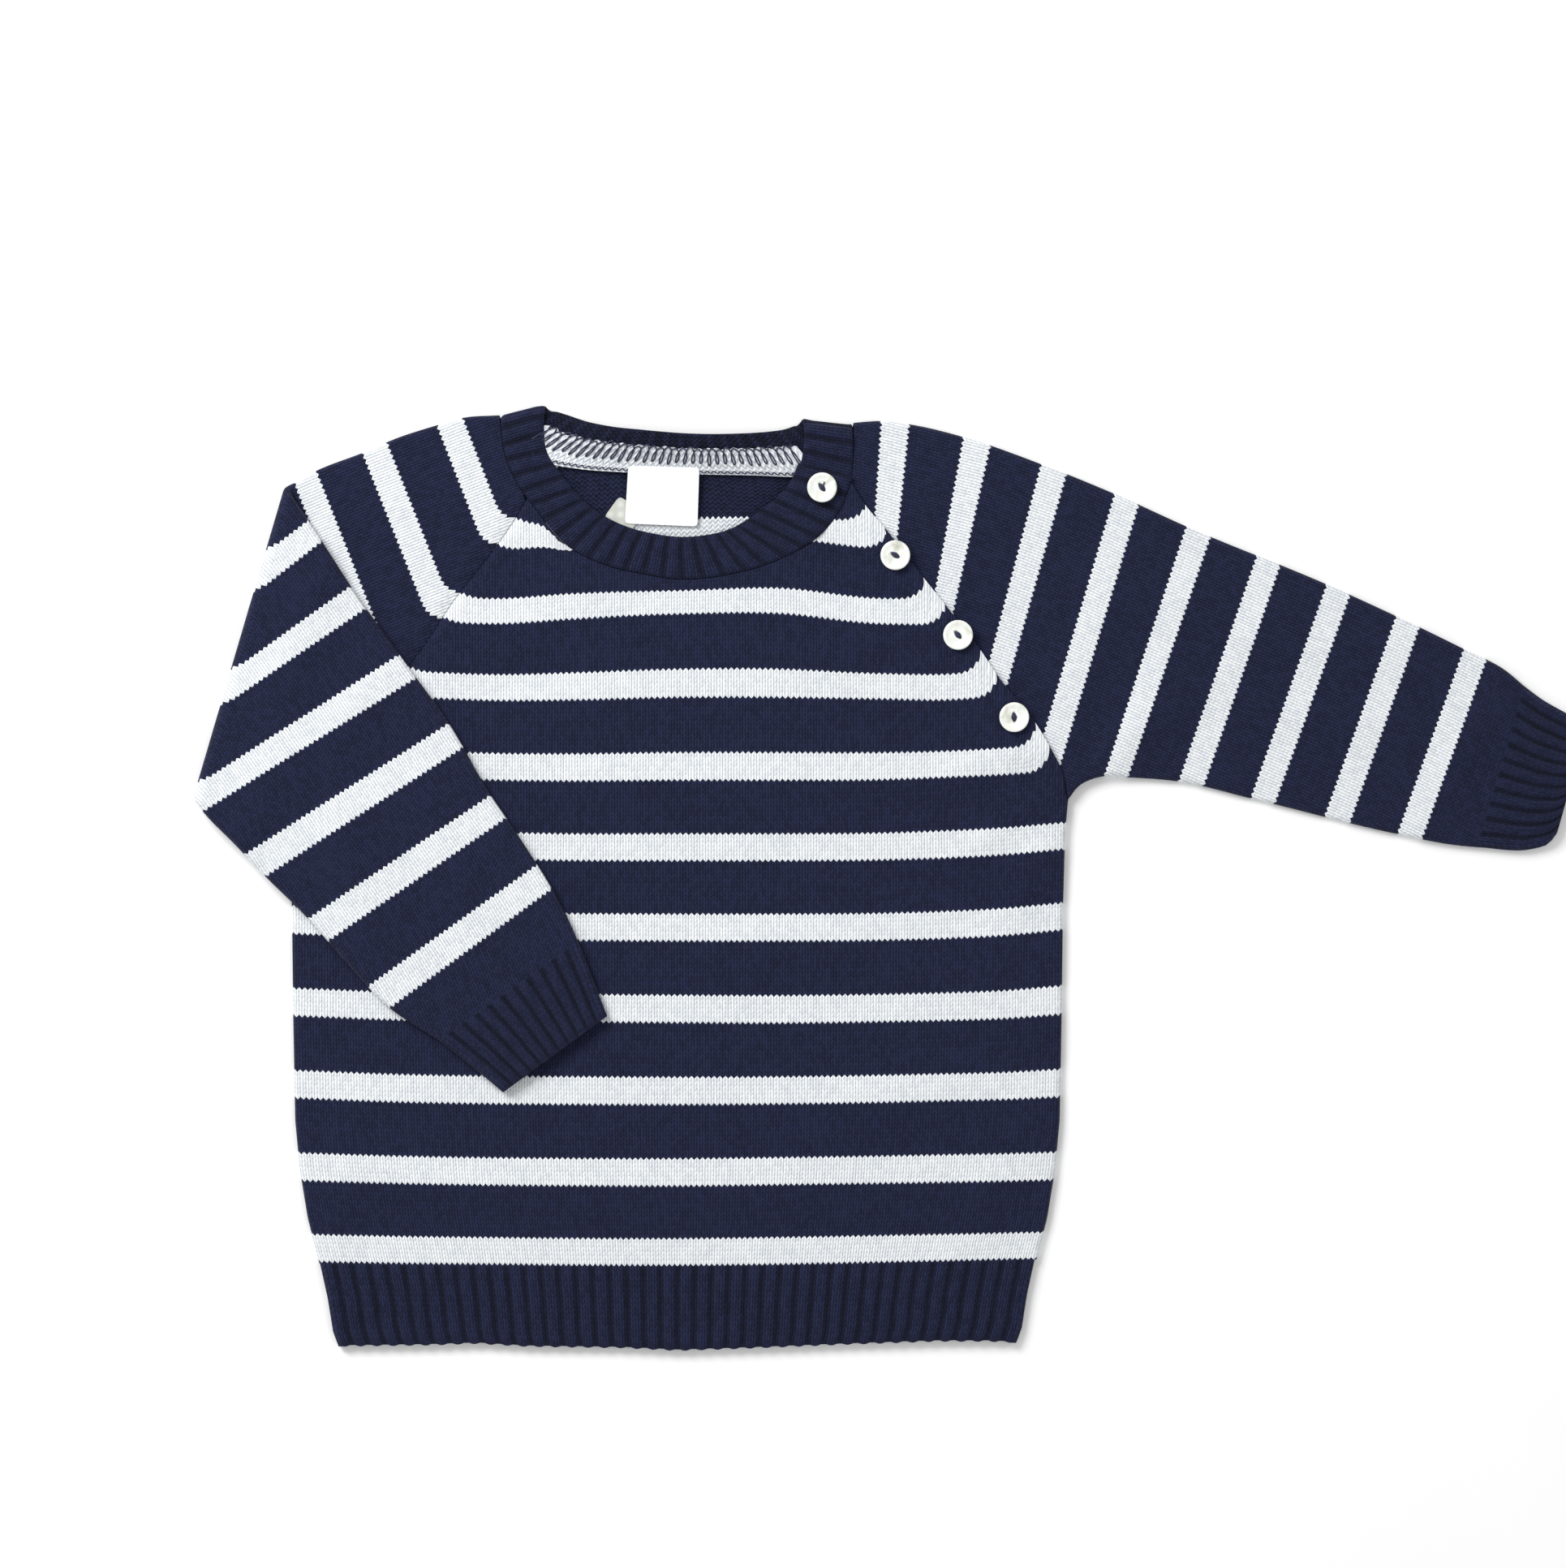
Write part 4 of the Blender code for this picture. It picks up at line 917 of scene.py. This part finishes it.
def turned_over(points):
    """The sleeve turned about its fold.

    A point past the fold goes round by its distance over the radius; beyond half a turn it lies upside down on
    the first layer, as far back as it went past.
    """
    past = past_fold(points)
    reach = FOLD_HIGH - points[..., 2]
    angle = np.clip(past / FOLD_R, 0, math.pi)
    over = np.maximum(past - math.pi * FOLD_R, 0)
    shown = np.where(past > 0, reach * np.sin(angle) - over, past)
    high = np.where(past > 0, FOLD_HIGH - reach * np.cos(angle), points[..., 2])
    plan = points[..., :2] + FOLD_IN * (past - shown)[..., None]
    return np.dstack([plan, high])


line = beside(sewn_edge, -GAP)
neck = beside(neck_seam(SEWN_ROW + 0.03, LEFT_FOLD_ROW - 1), -2 * GAP)
neck = np.concatenate([neck, [RIGHT_TOP[0]]])
line[-1] = neck[0]
back_line = beside(curve(BACK_SEWN_RAGLAN), -GAP)
back_neck = beside(neck_seam(BACK_ROWS[0] - 0.03, LEFT_FOLD_ROW + 1), -2 * GAP)
back_neck = np.concatenate([back_neck, [RIGHT_TOP[0]]])
back_line[-1] = back_neck[0]
under = curve(np.concatenate([RIGHT_UNDER, unfolded(LAID_UNDER)]), 240)
top = curve(np.concatenate([RIGHT_TOP, unfolded(LAID_TOP)]), 240)
start, end = -1.5, math.pi * FOLD_R + 1.5
rows = []
for past in np.concatenate([[start], np.linspace(0, math.pi * FOLD_R, 17), [end]]):
    rows.append([[np.interp(past, past_fold(edge), column) for column in edge.T] for edge in (under, top)])
rows = [np.array(row) for row in rows]
rows += list(zip(along(beyond(under, end, past_fold(under)), ARM_ROWS[1:]),
                 along(beyond(top, end, past_fold(top)), ARM_ROWS[1:])))
laid_rows = np.concatenate([unfolded(LAID_ROWS[:, :2]), unfolded(LAID_ROWS[:, 2:])], axis=1)
faces, marks = sleeve(cap_line(line, neck), cap_line(back_line, back_neck), upto(under, start, past_fold(under)),
                      upto(top, start, past_fold(top)), rows, np.concatenate([RIGHT_ROWS, laid_rows]), -1)
SEAM_PULL = (5.0, 9.0)  # the seam draws the stripes of the sleeve up by this much, and over this width
for points, mark in zip(faces, marks):
    above = ramp(points[..., 2], LAYER / 2, LAYER / 2 + 0.6)
    drawn = np.maximum(1 - nearest(points, sewn_edge) / SEAM_PULL[1], 0) ** 2
    mark[..., 1] -= SEAM_PULL[0] / COURSE * drawn * above
    points[..., 2] -= seam_dip(points, sewn_edge[20:]) * above
right_sleeve = shell("right_sleeve_cloth", [lying(turned_over(points)) for points in faces], marks,
                     [FACE, REVERSE], tube=True)
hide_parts("right_sleeve")

# %% The cuffs
CUFF_SHARES = np.concatenate([np.linspace(0, 0.9, 12), [0.93, 0.955, 0.98, 1.0]])


def cuff(under, top, front_ribs):
    """Both sides of a cuff: ribbed on the side that shows, and plain where it lies on something."""
    ends = list(zip(along(under, CUFF_SHARES), along(top, CUFF_SHARES)))
    length = distances(top)[-1]
    far = CUFF_SHARES[:, None] * length
    fade = ramp(far, 0, 1.6) * (1 - ramp(far, length - CAST_ON, length))
    sides, marks = [], []
    for ribbed in (front_ribs, not front_ribs):
        plan, place = ribbed_plan(ends, CUFF_RIBS)
        sides.append(wall(plan, ribs=rib_rise(place) * fade * ribbed))
        marks.append(rib_marks(sides[-1], place, length))
    return tube(sides[0], as_back(sides[1])), tube(*marks)


faces, marks = cuff(curve(LEFT_CUFF_UNDER), curve(LEFT_CUFF_TOP), True)
left_cuff = shell("left_cuff_cloth", [lying(points) for points in faces], marks, [RIB, RIB_INSIDE], tube=True)
faces, marks = cuff(curve(unfolded(LAID_CUFF_UNDER)), curve(unfolded(LAID_CUFF_TOP)), False)
right_cuff = shell("right_cuff_cloth", [lying(turned_over(points)) for points in faces], marks,
                   [RIB, RIB_INSIDE], tube=True)
for piece, solid in ((left_cuff, "left_cuff"), (right_cuff, "right_cuff")):
    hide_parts(solid)

# %% [markdown]
# ## The neckband
#
# One ribbed strip, joined on round the neck, that starts and ends at the buttoned edge. At the front it
# lies flat with its ribs up. At the shoulders it turns over, and along the back it stands up a little
# and leans towards the hem's far side, so that its inside shows.

# %% The neckband
BAND_ACROSS = np.array([0, 0.03, 0.08, 0.2, 0.35, 0.5, 0.65, 0.8, 0.92, 0.97, 1.0])
band_knots = (distances(BAND[:, :3]) + distances(BAND[:, 3:])) / 2
band_length = band_knots[-1]


def band_frame(stations):
    """At each station along the band: its seam point, its edge point, and the way out of its face."""
    seam, edge = band_lines(at=stations)
    middle = (seam + edge) / 2
    out = np.cross(edge - seam, np.gradient(middle, stations, axis=0))
    return seam, edge, out / np.linalg.norm(out, axis=1, keepdims=True)


turns = [np.linspace(band_knots[row - 1], band_knots[row + 1], 22)
         for row in (LEFT_FOLD_ROW, RIGHT_FOLD_ROW)]
stations = np.unique(np.round(np.concatenate([rib_shares(NECK_RIBS) * band_length, *turns]), 2))
seam, edge, out = band_frame(stations)
share = BAND_ACROSS[None, :, None]
strip = seam[:, None] * (1 - share) + edge[:, None] * share
blunt = np.sqrt(1 - 0.8 * np.clip((np.abs(2 * BAND_ACROSS - 1) - 0.88) / 0.12, 0, 1) ** 2)[None, :, None]
place = (stations / band_length * NECK_RIBS)[:, None, None]
near_end = ramp(band_length - stations, 10, 13)[:, None, None]
fade = ramp(share, 0.0, 0.1) * (1 - ramp(share, 0.84, 0.98)) * near_end
outer = strip + out[:, None] * (WALL / 2 * blunt + rib_height(place) * fade)
back_rib = 0.35 * (1 - ramp(np.abs((place + 0.5) % 1 - 0.5), 0.08, 0.22))
inner = strip - out[:, None] * (WALL / 2 * blunt + back_rib * fade)
wales = place[..., 0] * 3 + 0.5
courses = share[..., 0] * np.linalg.norm(edge - seam, axis=1)[:, None] / COURSE
marks = np.stack(np.broadcast_arrays(wales, courses), axis=-1)
neckband = shell("neckband_cloth", [lying(outer), lying(inner)], [marks, marks], [RIB, RIB_INSIDE])
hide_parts("neckband")
band_width = float(np.linalg.norm(edge - seam, axis=1).mean())
print("band:", round(band_length), "mm long and", round(band_width, 1), "mm wide")

# %% [markdown]
# ## Buttons and labels
#
# The buttons are turned from river shell: a shallow dish with a rounded rim and an eye-shaped hollow,
# where the thread passes through two holes. A turned piece is a profile carried round its axis; here the
# eye is pressed into the same grid, so no cutting is needed.

# %% Shell, thread and tape
def shell_finish():
    """Mother-of-pearl, turned and polished: thin layers that shine softly, with green and rose tints."""
    made, tree, shader = new_material("river shell", 0.24, Specular_IOR_Level=0.6, IOR=1.6, Coat_Weight=0.5,
                                      Coat_Roughness=0.08, Subsurface_Weight=0.12, Subsurface_Scale=2 * MM)
    place = node(tree, "ShaderNodeTexCoord").outputs["Object"]
    cloud = node(tree, "ShaderNodeTexNoise", None, {"Vector": place, "Scale": 1 / (7 * MM), "Detail": 3.0,
                                                    "Distortion": 0.8})
    tint = node(tree, "ShaderNodeValToRGB", None, {0: cloud.outputs[0]})
    stops = ((0.30, "#c2c5b6"), (0.40, "#dcdfd3"), (0.50, "#f3f4f0"), (0.62, "#eaeee6"), (0.74, "#e9e1dd"))
    ramp_node = tint.color_ramp
    while len(ramp_node.elements) < len(stops):
        ramp_node.elements.new(0.5)
    for element, (at, code) in zip(ramp_node.elements, stops):
        element.position = at
        element.color = linear(code)
    growth = node(tree, "ShaderNodeTexWave", {"wave_type": "BANDS", "bands_direction": "DIAGONAL"}, {
        "Vector": place, "Scale": 1 / (9 * MM), "Distortion": 6.0, "Detail": 2.0})
    bump = node(tree, "ShaderNodeBump", None, {"Strength": 0.25, "Distance": 0.05 * MM,
                                               "Height": growth.outputs[1]})
    tree.links.new(tint.outputs[0], shader.inputs["Base Color"])
    tree.links.new(bump.outputs[0], shader.inputs["Normal"])
    return made


def thread_finish(name, light, dark):
    """Spun polyester sewing thread: a soft satin line, with the twist just showing as light and dark."""
    made, tree, shader = new_material(name, 0.55, Sheen_Weight=0.15, Specular_IOR_Level=0.4)
    place = node(tree, "ShaderNodeTexCoord").outputs["Object"]
    twist = node(tree, "ShaderNodeTexNoise", None, {"Vector": place, "Scale": 1 / (0.5 * MM), "Detail": 2.0})
    color = node(tree, "ShaderNodeMix", {"data_type": "RGBA"}, {
        0: twist.outputs[0], 6: linear(dark), 7: linear(light)}).outputs[2]
    bump = node(tree, "ShaderNodeBump", None, {"Strength": 0.5, "Distance": 0.08 * MM,
                                               "Height": twist.outputs[0]})
    tree.links.new(color, shader.inputs["Base Color"])
    tree.links.new(bump.outputs[0], shader.inputs["Normal"])
    return made


def tape_finish(name, light, dark):
    """Satin-woven polyester tape: threads 0.25 mm apart, drawn at 0.6 mm so that they show at all."""
    made, tree, shader = new_material(name, 0.5, Sheen_Weight=0.1, Specular_IOR_Level=0.45)
    place = node(tree, "ShaderNodeTexCoord").outputs["Object"]
    warp, weft = (node(tree, "ShaderNodeTexWave", {"bands_direction": way},
                       {"Vector": place, "Scale": 1 / (0.6 * MM) / 20}) for way in "XY")
    weave = node(tree, "ShaderNodeMath", {"operation": "MULTIPLY"}, {0: warp.outputs[1], 1: weft.outputs[1]})
    color = node(tree, "ShaderNodeMix", {"data_type": "RGBA"}, {
        0: weave, 6: linear(dark), 7: linear(light)}).outputs[2]
    bump = node(tree, "ShaderNodeBump", None, {"Strength": 0.4, "Distance": 0.05 * MM, "Height": weave})
    tree.links.new(color, shader.inputs["Base Color"])
    tree.links.new(bump.outputs[0], shader.inputs["Normal"])
    return made


SHELL = shell_finish()
NAVY_THREAD = thread_finish("navy sewing thread", "#2b3054", "#14172c")
LABEL_TAPE = tape_finish("white label tape", "#fbfcfc", "#eef0f1")
CARE_TAPE = tape_finish("grey-white care tape", "#d3d6cf", "#bcc0b8")

# %% Buttons
BUTTON_D = 11.0
BUTTON_HIGH = 2.2
EYE = (2.15, 1.0, 0.7)  # half length and half width of the eye, and its depth
# Middle x, y, the height of the cloth under it, and the lie of the eye in degrees
BUTTONS = ((53.4, 317.4, OVER_Z + WALL / 2 + RIB_HIGH, 128), (80.4, 292.5, LAYER + LIFT, 150),
           (103.5, 263.1, LAYER + LIFT, 132), (124.2, 232.8, LAYER + LIFT, 96))
# The profile from the middle of the top, over the rim and back to the middle below: radius, height, as
# shares
DISH = np.array(((0.0, 0.60), (0.10, 0.60), (0.20, 0.605), (0.30, 0.615), (0.40, 0.635), (0.5, 0.665),
                 (0.6, 0.73), (0.70, 0.82), (0.79, 0.925), (0.87, 0.985), (0.93, 1.0), (0.975, 0.93),
                 (1.0, 0.78), (1.0, 0.6), (0.985, 0.36), (0.94, 0.2), (0.86, 0.08), (0.76, 0.02), (0.6, 0.0),
                 (0.3, 0.0), (0.0, 0.0)))


def turned_disc(sides=72):
    """Points (r cos t, r sin t, h) of the profile, the eye pressed in where (x / a)² + (y / b)² < 1."""
    shares = np.concatenate([np.linspace(0, 0.5, 16), DISH[6:, 0]])
    high = np.concatenate([np.interp(np.linspace(0, 0.5, 16), DISH[:6, 0], DISH[:6, 1]), DISH[6:, 1]])
    turn = np.linspace(0, 2 * np.pi, sides, endpoint=False)
    radius = shares[1:-1, None] * BUTTON_D / 2
    x, y = radius * np.cos(turn), radius * np.sin(turn)
    z = np.broadcast_to(high[1:-1, None] * BUTTON_HIGH, x.shape).copy()
    upper = np.arange(len(z))[:, None] < 16
    eye = (x / EYE[0]) ** 2 + (np.abs(y) / (EYE[1] * (1 - 0.25 * np.abs(x) / EYE[0]).clip(0.3))) ** 2
    z -= EYE[2] * (1 - ramp(eye, 0.6, 1.15)) * upper
    rings = np.stack([x, y, z], axis=-1).reshape(-1, 3)
    poles = np.array([(0, 0, high[0] * BUTTON_HIGH - EYE[2]), (0, 0, high[-1] * BUTTON_HIGH)])
    at = np.arange(len(rings)).reshape(-1, sides)
    at = np.concatenate([at, at[:, :1]], axis=1)
    quads = np.stack([at[:-1, :-1], at[1:, :-1], at[1:, 1:], at[:-1, 1:]], axis=-1).reshape(-1, 4)
    caps = [np.stack([np.full(sides // 2, len(rings)), at[0, :-1:2], at[0, 1::2], at[0, 2::2]], axis=-1),
            np.stack([np.full(sides // 2, len(rings) + 1), at[-1, 2::2], at[-1, 1::2], at[-1, :-1:2]], axis=-1)]
    return np.concatenate([rings, poles]), np.concatenate([quads, *caps])


def round_thread(path, radius, sides=8):
    """A tube along a path: at each point a ring across it, radius × (side cos t + up sin t)."""
    way = np.gradient(path, axis=0)
    way /= np.linalg.norm(way, axis=1, keepdims=True)
    side = np.cross(way, (0, 0, 1.0))
    side /= np.maximum(np.linalg.norm(side, axis=1, keepdims=True), 1e-9)
    up = np.cross(side, way)
    turn = np.linspace(0, 2 * np.pi, sides, endpoint=False)
    radius = np.broadcast_to(radius, len(path))[:, None, None]
    across, along_up = np.cos(turn)[:, None], np.sin(turn)[:, None]
    rings = path[:, None] + radius * (side[:, None] * across + up[:, None] * along_up)
    at = np.arange(len(path) * sides).reshape(-1, sides)
    at = np.concatenate([at, at[:, :1]], axis=1)
    quads = np.stack([at[:-1, :-1], at[:-1, 1:], at[1:, 1:], at[1:, :-1]], axis=-1).reshape(-1, 4)
    ends = len(path) * sides + np.array([0, 1])
    fans = [np.stack([np.full(sides // 2, end), ring[2::2], ring[1::2], ring[:-1:2]], axis=-1)
            for end, ring in zip(ends, (at[0], at[-1, ::-1]))]
    return np.concatenate([rings.reshape(-1, 3), path[[0, -1]]]), quads, np.concatenate(fans)


def threads(name, paths, radius, finish):
    """Several threads as one piece."""
    points, quads, count = [], [], 0
    for path in paths:
        ring_points, sides, fans = round_thread(np.asarray(path, float), radius)
        points.append(ring_points)
        quads += [sides + count, fans + count]
        count += len(ring_points)
    made = new_piece(name, np.concatenate(points), np.concatenate(quads), [finish], sharp=80)
    return made


STRANDS = (-0.6, -0.2, 0.2, 0.6)  # the threads lie side by side across the eye
disc, disc_faces = turned_disc()
bow = np.linspace(-1, 1, 15)
for number, (x, y, base, lie) in enumerate(BUTTONS, 1):
    rise = mounds(np.array([[x, y]]), SWELLS)[0] + mounds(np.array([[x, y]]), ARM_SWELLS)[0]
    turn = math.radians(lie)
    spin = np.array([[math.cos(turn), math.sin(turn), 0], [-math.sin(turn), math.cos(turn), 0], [0, 0, 1]])
    centre = np.array([x, y, base + 0.3 + rise])
    button = new_piece(f"shell_button_{number}", disc @ spin + centre, disc_faces, [SHELL], sharp=60)
    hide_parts(f"button_{number}")
    paths = [np.stack([bow * 1.75 * (1 - 0.35 * strand**2), strand + 0.12 * np.sin(5 * bow + 3 * strand),
                       0.5 + 0.85 * (1 - bow**2)], axis=1) for strand in STRANDS]
    if number == 1:  # a loose end stands out of the first
        paths.append(np.stack([0.55 * (bow + 1), -1.1 * (bow + 1) + 0.3 * bow**2,
                               1.5 + 0.25 * np.sin(2 * bow)], axis=1))
    threads(f"button_thread_{number}", [path @ spin + centre for path in paths], 0.24, NAVY_THREAD)
print("buttons:", len(BUTTONS), "each", BUTTON_D, "mm across")

# %% [markdown]
# ## Inside the neck
#
# Where the band is joined to the back, the raw edge is a strip of the white stripe. It is turned up
# against the band and overlocked in navy: long loops, side by side. A row of chain stitches holds it
# down. Below it hangs the neck label, left bare here, and the corner of a care label shows beside it.

# %% The turned seam and its stitches
SEAM_FROM, SEAM_TO = np.interp((17.3, 24.95), np.arange(len(BAND)), band_knots)
SEAM_THICK = 0.6


def inside_band(stations, shares, by):
    """Points on the inside of the band: a share of the way from its seam to its edge, and so far off it."""
    seam, edge, out = band_frame(stations)
    grid = seam[:, None] + (edge - seam)[:, None] * shares[..., None]
    return grid - out[:, None] * (WALL / 2 + np.asarray(by))[..., None]


places = np.linspace(SEAM_FROM, SEAM_TO, 120)
ragged = 0.64 + 0.02 * np.sin(places * 1.9) + 0.015 * np.sin(places * 0.71 + 1)
shares = np.linspace(0, 1, 7)[None] * (ragged[:, None] + 0.05) - 0.05
lifted = np.broadcast_to(0.45 + 0.15 * np.sin(np.linspace(0, np.pi, 7)), shares.shape)
outer = inside_band(places, shares, lifted + SEAM_THICK)
inner = inside_band(places, shares, lifted)
marks = np.stack(np.broadcast_arrays(places[:, None] / WALE, 1 + 4.2 * shares / 0.64), axis=-1)
turned_seam = shell("turned_seam", [lying(outer), lying(inner)], [marks, marks], [REVERSE, REVERSE])

LOOPS = 34
count = LOOPS * 22
step = np.linspace(0, LOOPS, count)
pitch = (SEAM_TO - SEAM_FROM - 4) / LOOPS
slack = 1 + 0.12 * np.sin(step * 2.3) + 0.08 * np.sin(step * 5.1)
loop_place = SEAM_FROM + 2 + pitch * (step + 0.42 * np.sin(2 * np.pi * step + 0.35))
loop_share = (0.45 + 0.21 * np.cos(2 * np.pi * step) * slack)[:, None]
loop_high = 0.45 + SEAM_THICK + 0.35 + 0.12 * np.sin(4 * np.pi * step)[:, None]
loops = inside_band(loop_place, loop_share, loop_high)[:, 0]
chain_step = np.linspace(0, 1, 500)
chain_place = SEAM_FROM + 1 + (SEAM_TO - SEAM_FROM - 2) * chain_step
chain_share = (0.02 + 0.028 * np.sin(chain_place * 2 * np.pi / 2.1))[:, None]
chain = inside_band(chain_place, chain_share, np.full((500, 1), 0.45 + SEAM_THICK + 0.2))[:, 0]
overlock = threads("overlock_stitches", [loops], 0.25, NAVY_THREAD)
chain_stitch = threads("chain_stitches", [chain], 0.22, NAVY_THREAD)
print("overlock:", LOOPS, "loops,", round(pitch, 2), "mm apart")


# %% Labels
def tape_piece(name, corners, high, thick, roundness, finish):
    """A tape with four corners, low left first and round, at a height for each, and its corners rounded.

    A point (u, v) of the square moves in by max(|u|, |v|) / (|u|ⁿ + |v|ⁿ)^(1/n): a large n leaves it square.
    """
    side = np.linspace(-1, 1, 25)
    u, v = np.meshgrid(side, side)
    size = np.maximum(np.abs(u), np.abs(v))
    norm = np.maximum((np.abs(u) ** roundness + np.abs(v) ** roundness) ** (1 / roundness), 1e-9)
    u, v = u * size / norm, v * size / norm
    corners = np.column_stack([corners, high])
    weights = np.stack([(1 - u) * (1 - v), (1 + u) * (1 - v),
                        (1 + u) * (1 + v), (1 - u) * (1 + v)], axis=-1) / 4
    top = weights @ corners
    top[..., 2] += 0.25 * np.sin(2.2 * u + 0.6) * np.cos(1.7 * v)
    return shell(name, [top, top - (0, 0, thick)], [top[..., :2], top[..., :2]], [finish, finish])


neck_label = tape_piece("bare_neck_label", ((-19.4, 304.4), (7.4, 303.3), (8.1, 324.9), (-18.1, 325.6)),
                        (3.0, 3.0, 4.6, 4.6), 0.5, 22, LABEL_TAPE)
care_label = tape_piece("bare_care_label", ((-27.2, 306.6), (-18.0, 300.4), (-12.4, 308.2), (-21.4, 314.6)),
                        (2.15, 2.15, 2.3, 2.3), 0.35, 7, CARE_TAPE)
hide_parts("neck_label")
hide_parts("care_label")

# %% [markdown]
# ## Floor, light and camera
#
# The garment lies on a pale, even surface in soft light from above, a little from the upper left. The
# camera looks straight down, through a long lens, so that nothing leans.

# %% Floor
def paper_finish():
    """Uncoated white paper: matt, with the faint cloudiness of its fibres."""
    made, tree, shader = new_material("white paper ground", 0.9)
    place = node(tree, "ShaderNodeTexCoord").outputs["Object"]
    fibres = node(tree, "ShaderNodeTexNoise", None, {"Vector": place, "Scale": 1 / (60 * MM), "Detail": 4.0})
    color = node(tree, "ShaderNodeMix", {"data_type": "RGBA"}, {
        0: fibres.outputs[0], 6: linear("#f9f9f9"), 7: linear("#fbfbfb")}).outputs[2]
    tree.links.new(color, shader.inputs["Base Color"])
    return made


FLOOR_WIDE = 6000.0
FLOOR_Z = -0.05  # a hair below the cloth, so that the two faces don't share a plane
corners = np.array([(-1, -1), (1, -1), (1, 1), (-1, 1)]) * FLOOR_WIDE
floor = new_piece("floor", np.column_stack([corners, np.full(4, FLOOR_Z)]), np.array([[0, 1, 2, 3]]),
                  [paper_finish()])

# %% The cut of the cloth
# The piece, the cut's width and length in mm, its share of that rectangle, how it lies and what it lies
# on. A panel's cut is its own outline. A sleeve's or cuff's is twice its flat width, and both sleeves
# have one cut.
CUTS = ((back_cloth, 289, 298, 0.84, "laid", [floor]),
        (front_cloth, 289, 289, 0.83, "laid", [back_cloth]),
        (back_hem, 264, 34, 0.9, "laid", [floor]),
        (front_hem, 264, 34, 0.9, "laid", [back_hem]),
        (left_sleeve, 221, 276, 0.69, "laid", [floor]),
        (right_sleeve, 221, 276, 0.69, "folded", [front_cloth]),
        (left_cuff, 124, 28, 0.93, "laid", [floor]),
        (right_cuff, 124, 28, 0.93, "folded", [front_cloth]),
        (neckband, 304, 18, 1.0, "laid", [back_cloth]))
for piece, wide, long, share, held, under_it in CUTS:
    print(f"{piece.name}: cut {wide} × {long} mm, {share * wide * long / 100:.0f} cm²")

# %% Light
surround = bpy.data.worlds.new("studio")
surround.use_nodes = True
surround.node_tree.nodes["Background"].inputs[0].default_value = (1, 1, 1, 1)
surround.node_tree.nodes["Background"].inputs[1].default_value = 0.54
bpy.context.scene.world = surround


def softbox(name, place, size, watts):
    """A square area light that looks at the middle of the garment."""
    light = bpy.data.lights.new(name, "AREA")
    light.shape, light.size, light.energy = "SQUARE", size, watts
    lamp = bpy.data.objects.new(name, light)
    lamp.location = place
    lamp.rotation_euler = (-lamp.location).to_track_quat("-Z", "Y").to_euler()
    bpy.context.scene.collection.objects.link(lamp)


softbox("key", (-1.0, 0.95, 1.2), 0.8, 27)
softbox("fill", (0.9, -0.5, 1.6), 1.4, 6)

# %% Camera
PHOTO_MM = 0.3  # millimetres to a pixel of the picture, which is 1930 × 1932
PHOTO_MIDDLE = np.array([39.0, 208.2, 0.0])  # the middle of the picture, on the garment
LENS, SENSOR = 135.0, 36.0
lens = bpy.data.cameras.new("camera")
lens.lens, lens.sensor_width = LENS, SENSOR
camera = bpy.data.objects.new("camera", lens)
away = 1932 * PHOTO_MM * LENS / SENSOR
camera.location = world(PHOTO_MIDDLE + np.array([0, 0, away]))
bpy.context.scene.collection.objects.link(camera)
bpy.context.scene.camera = camera
bpy.context.scene.view_settings.view_transform = "Standard"
print("camera stands", round(away), "mm above the surface")
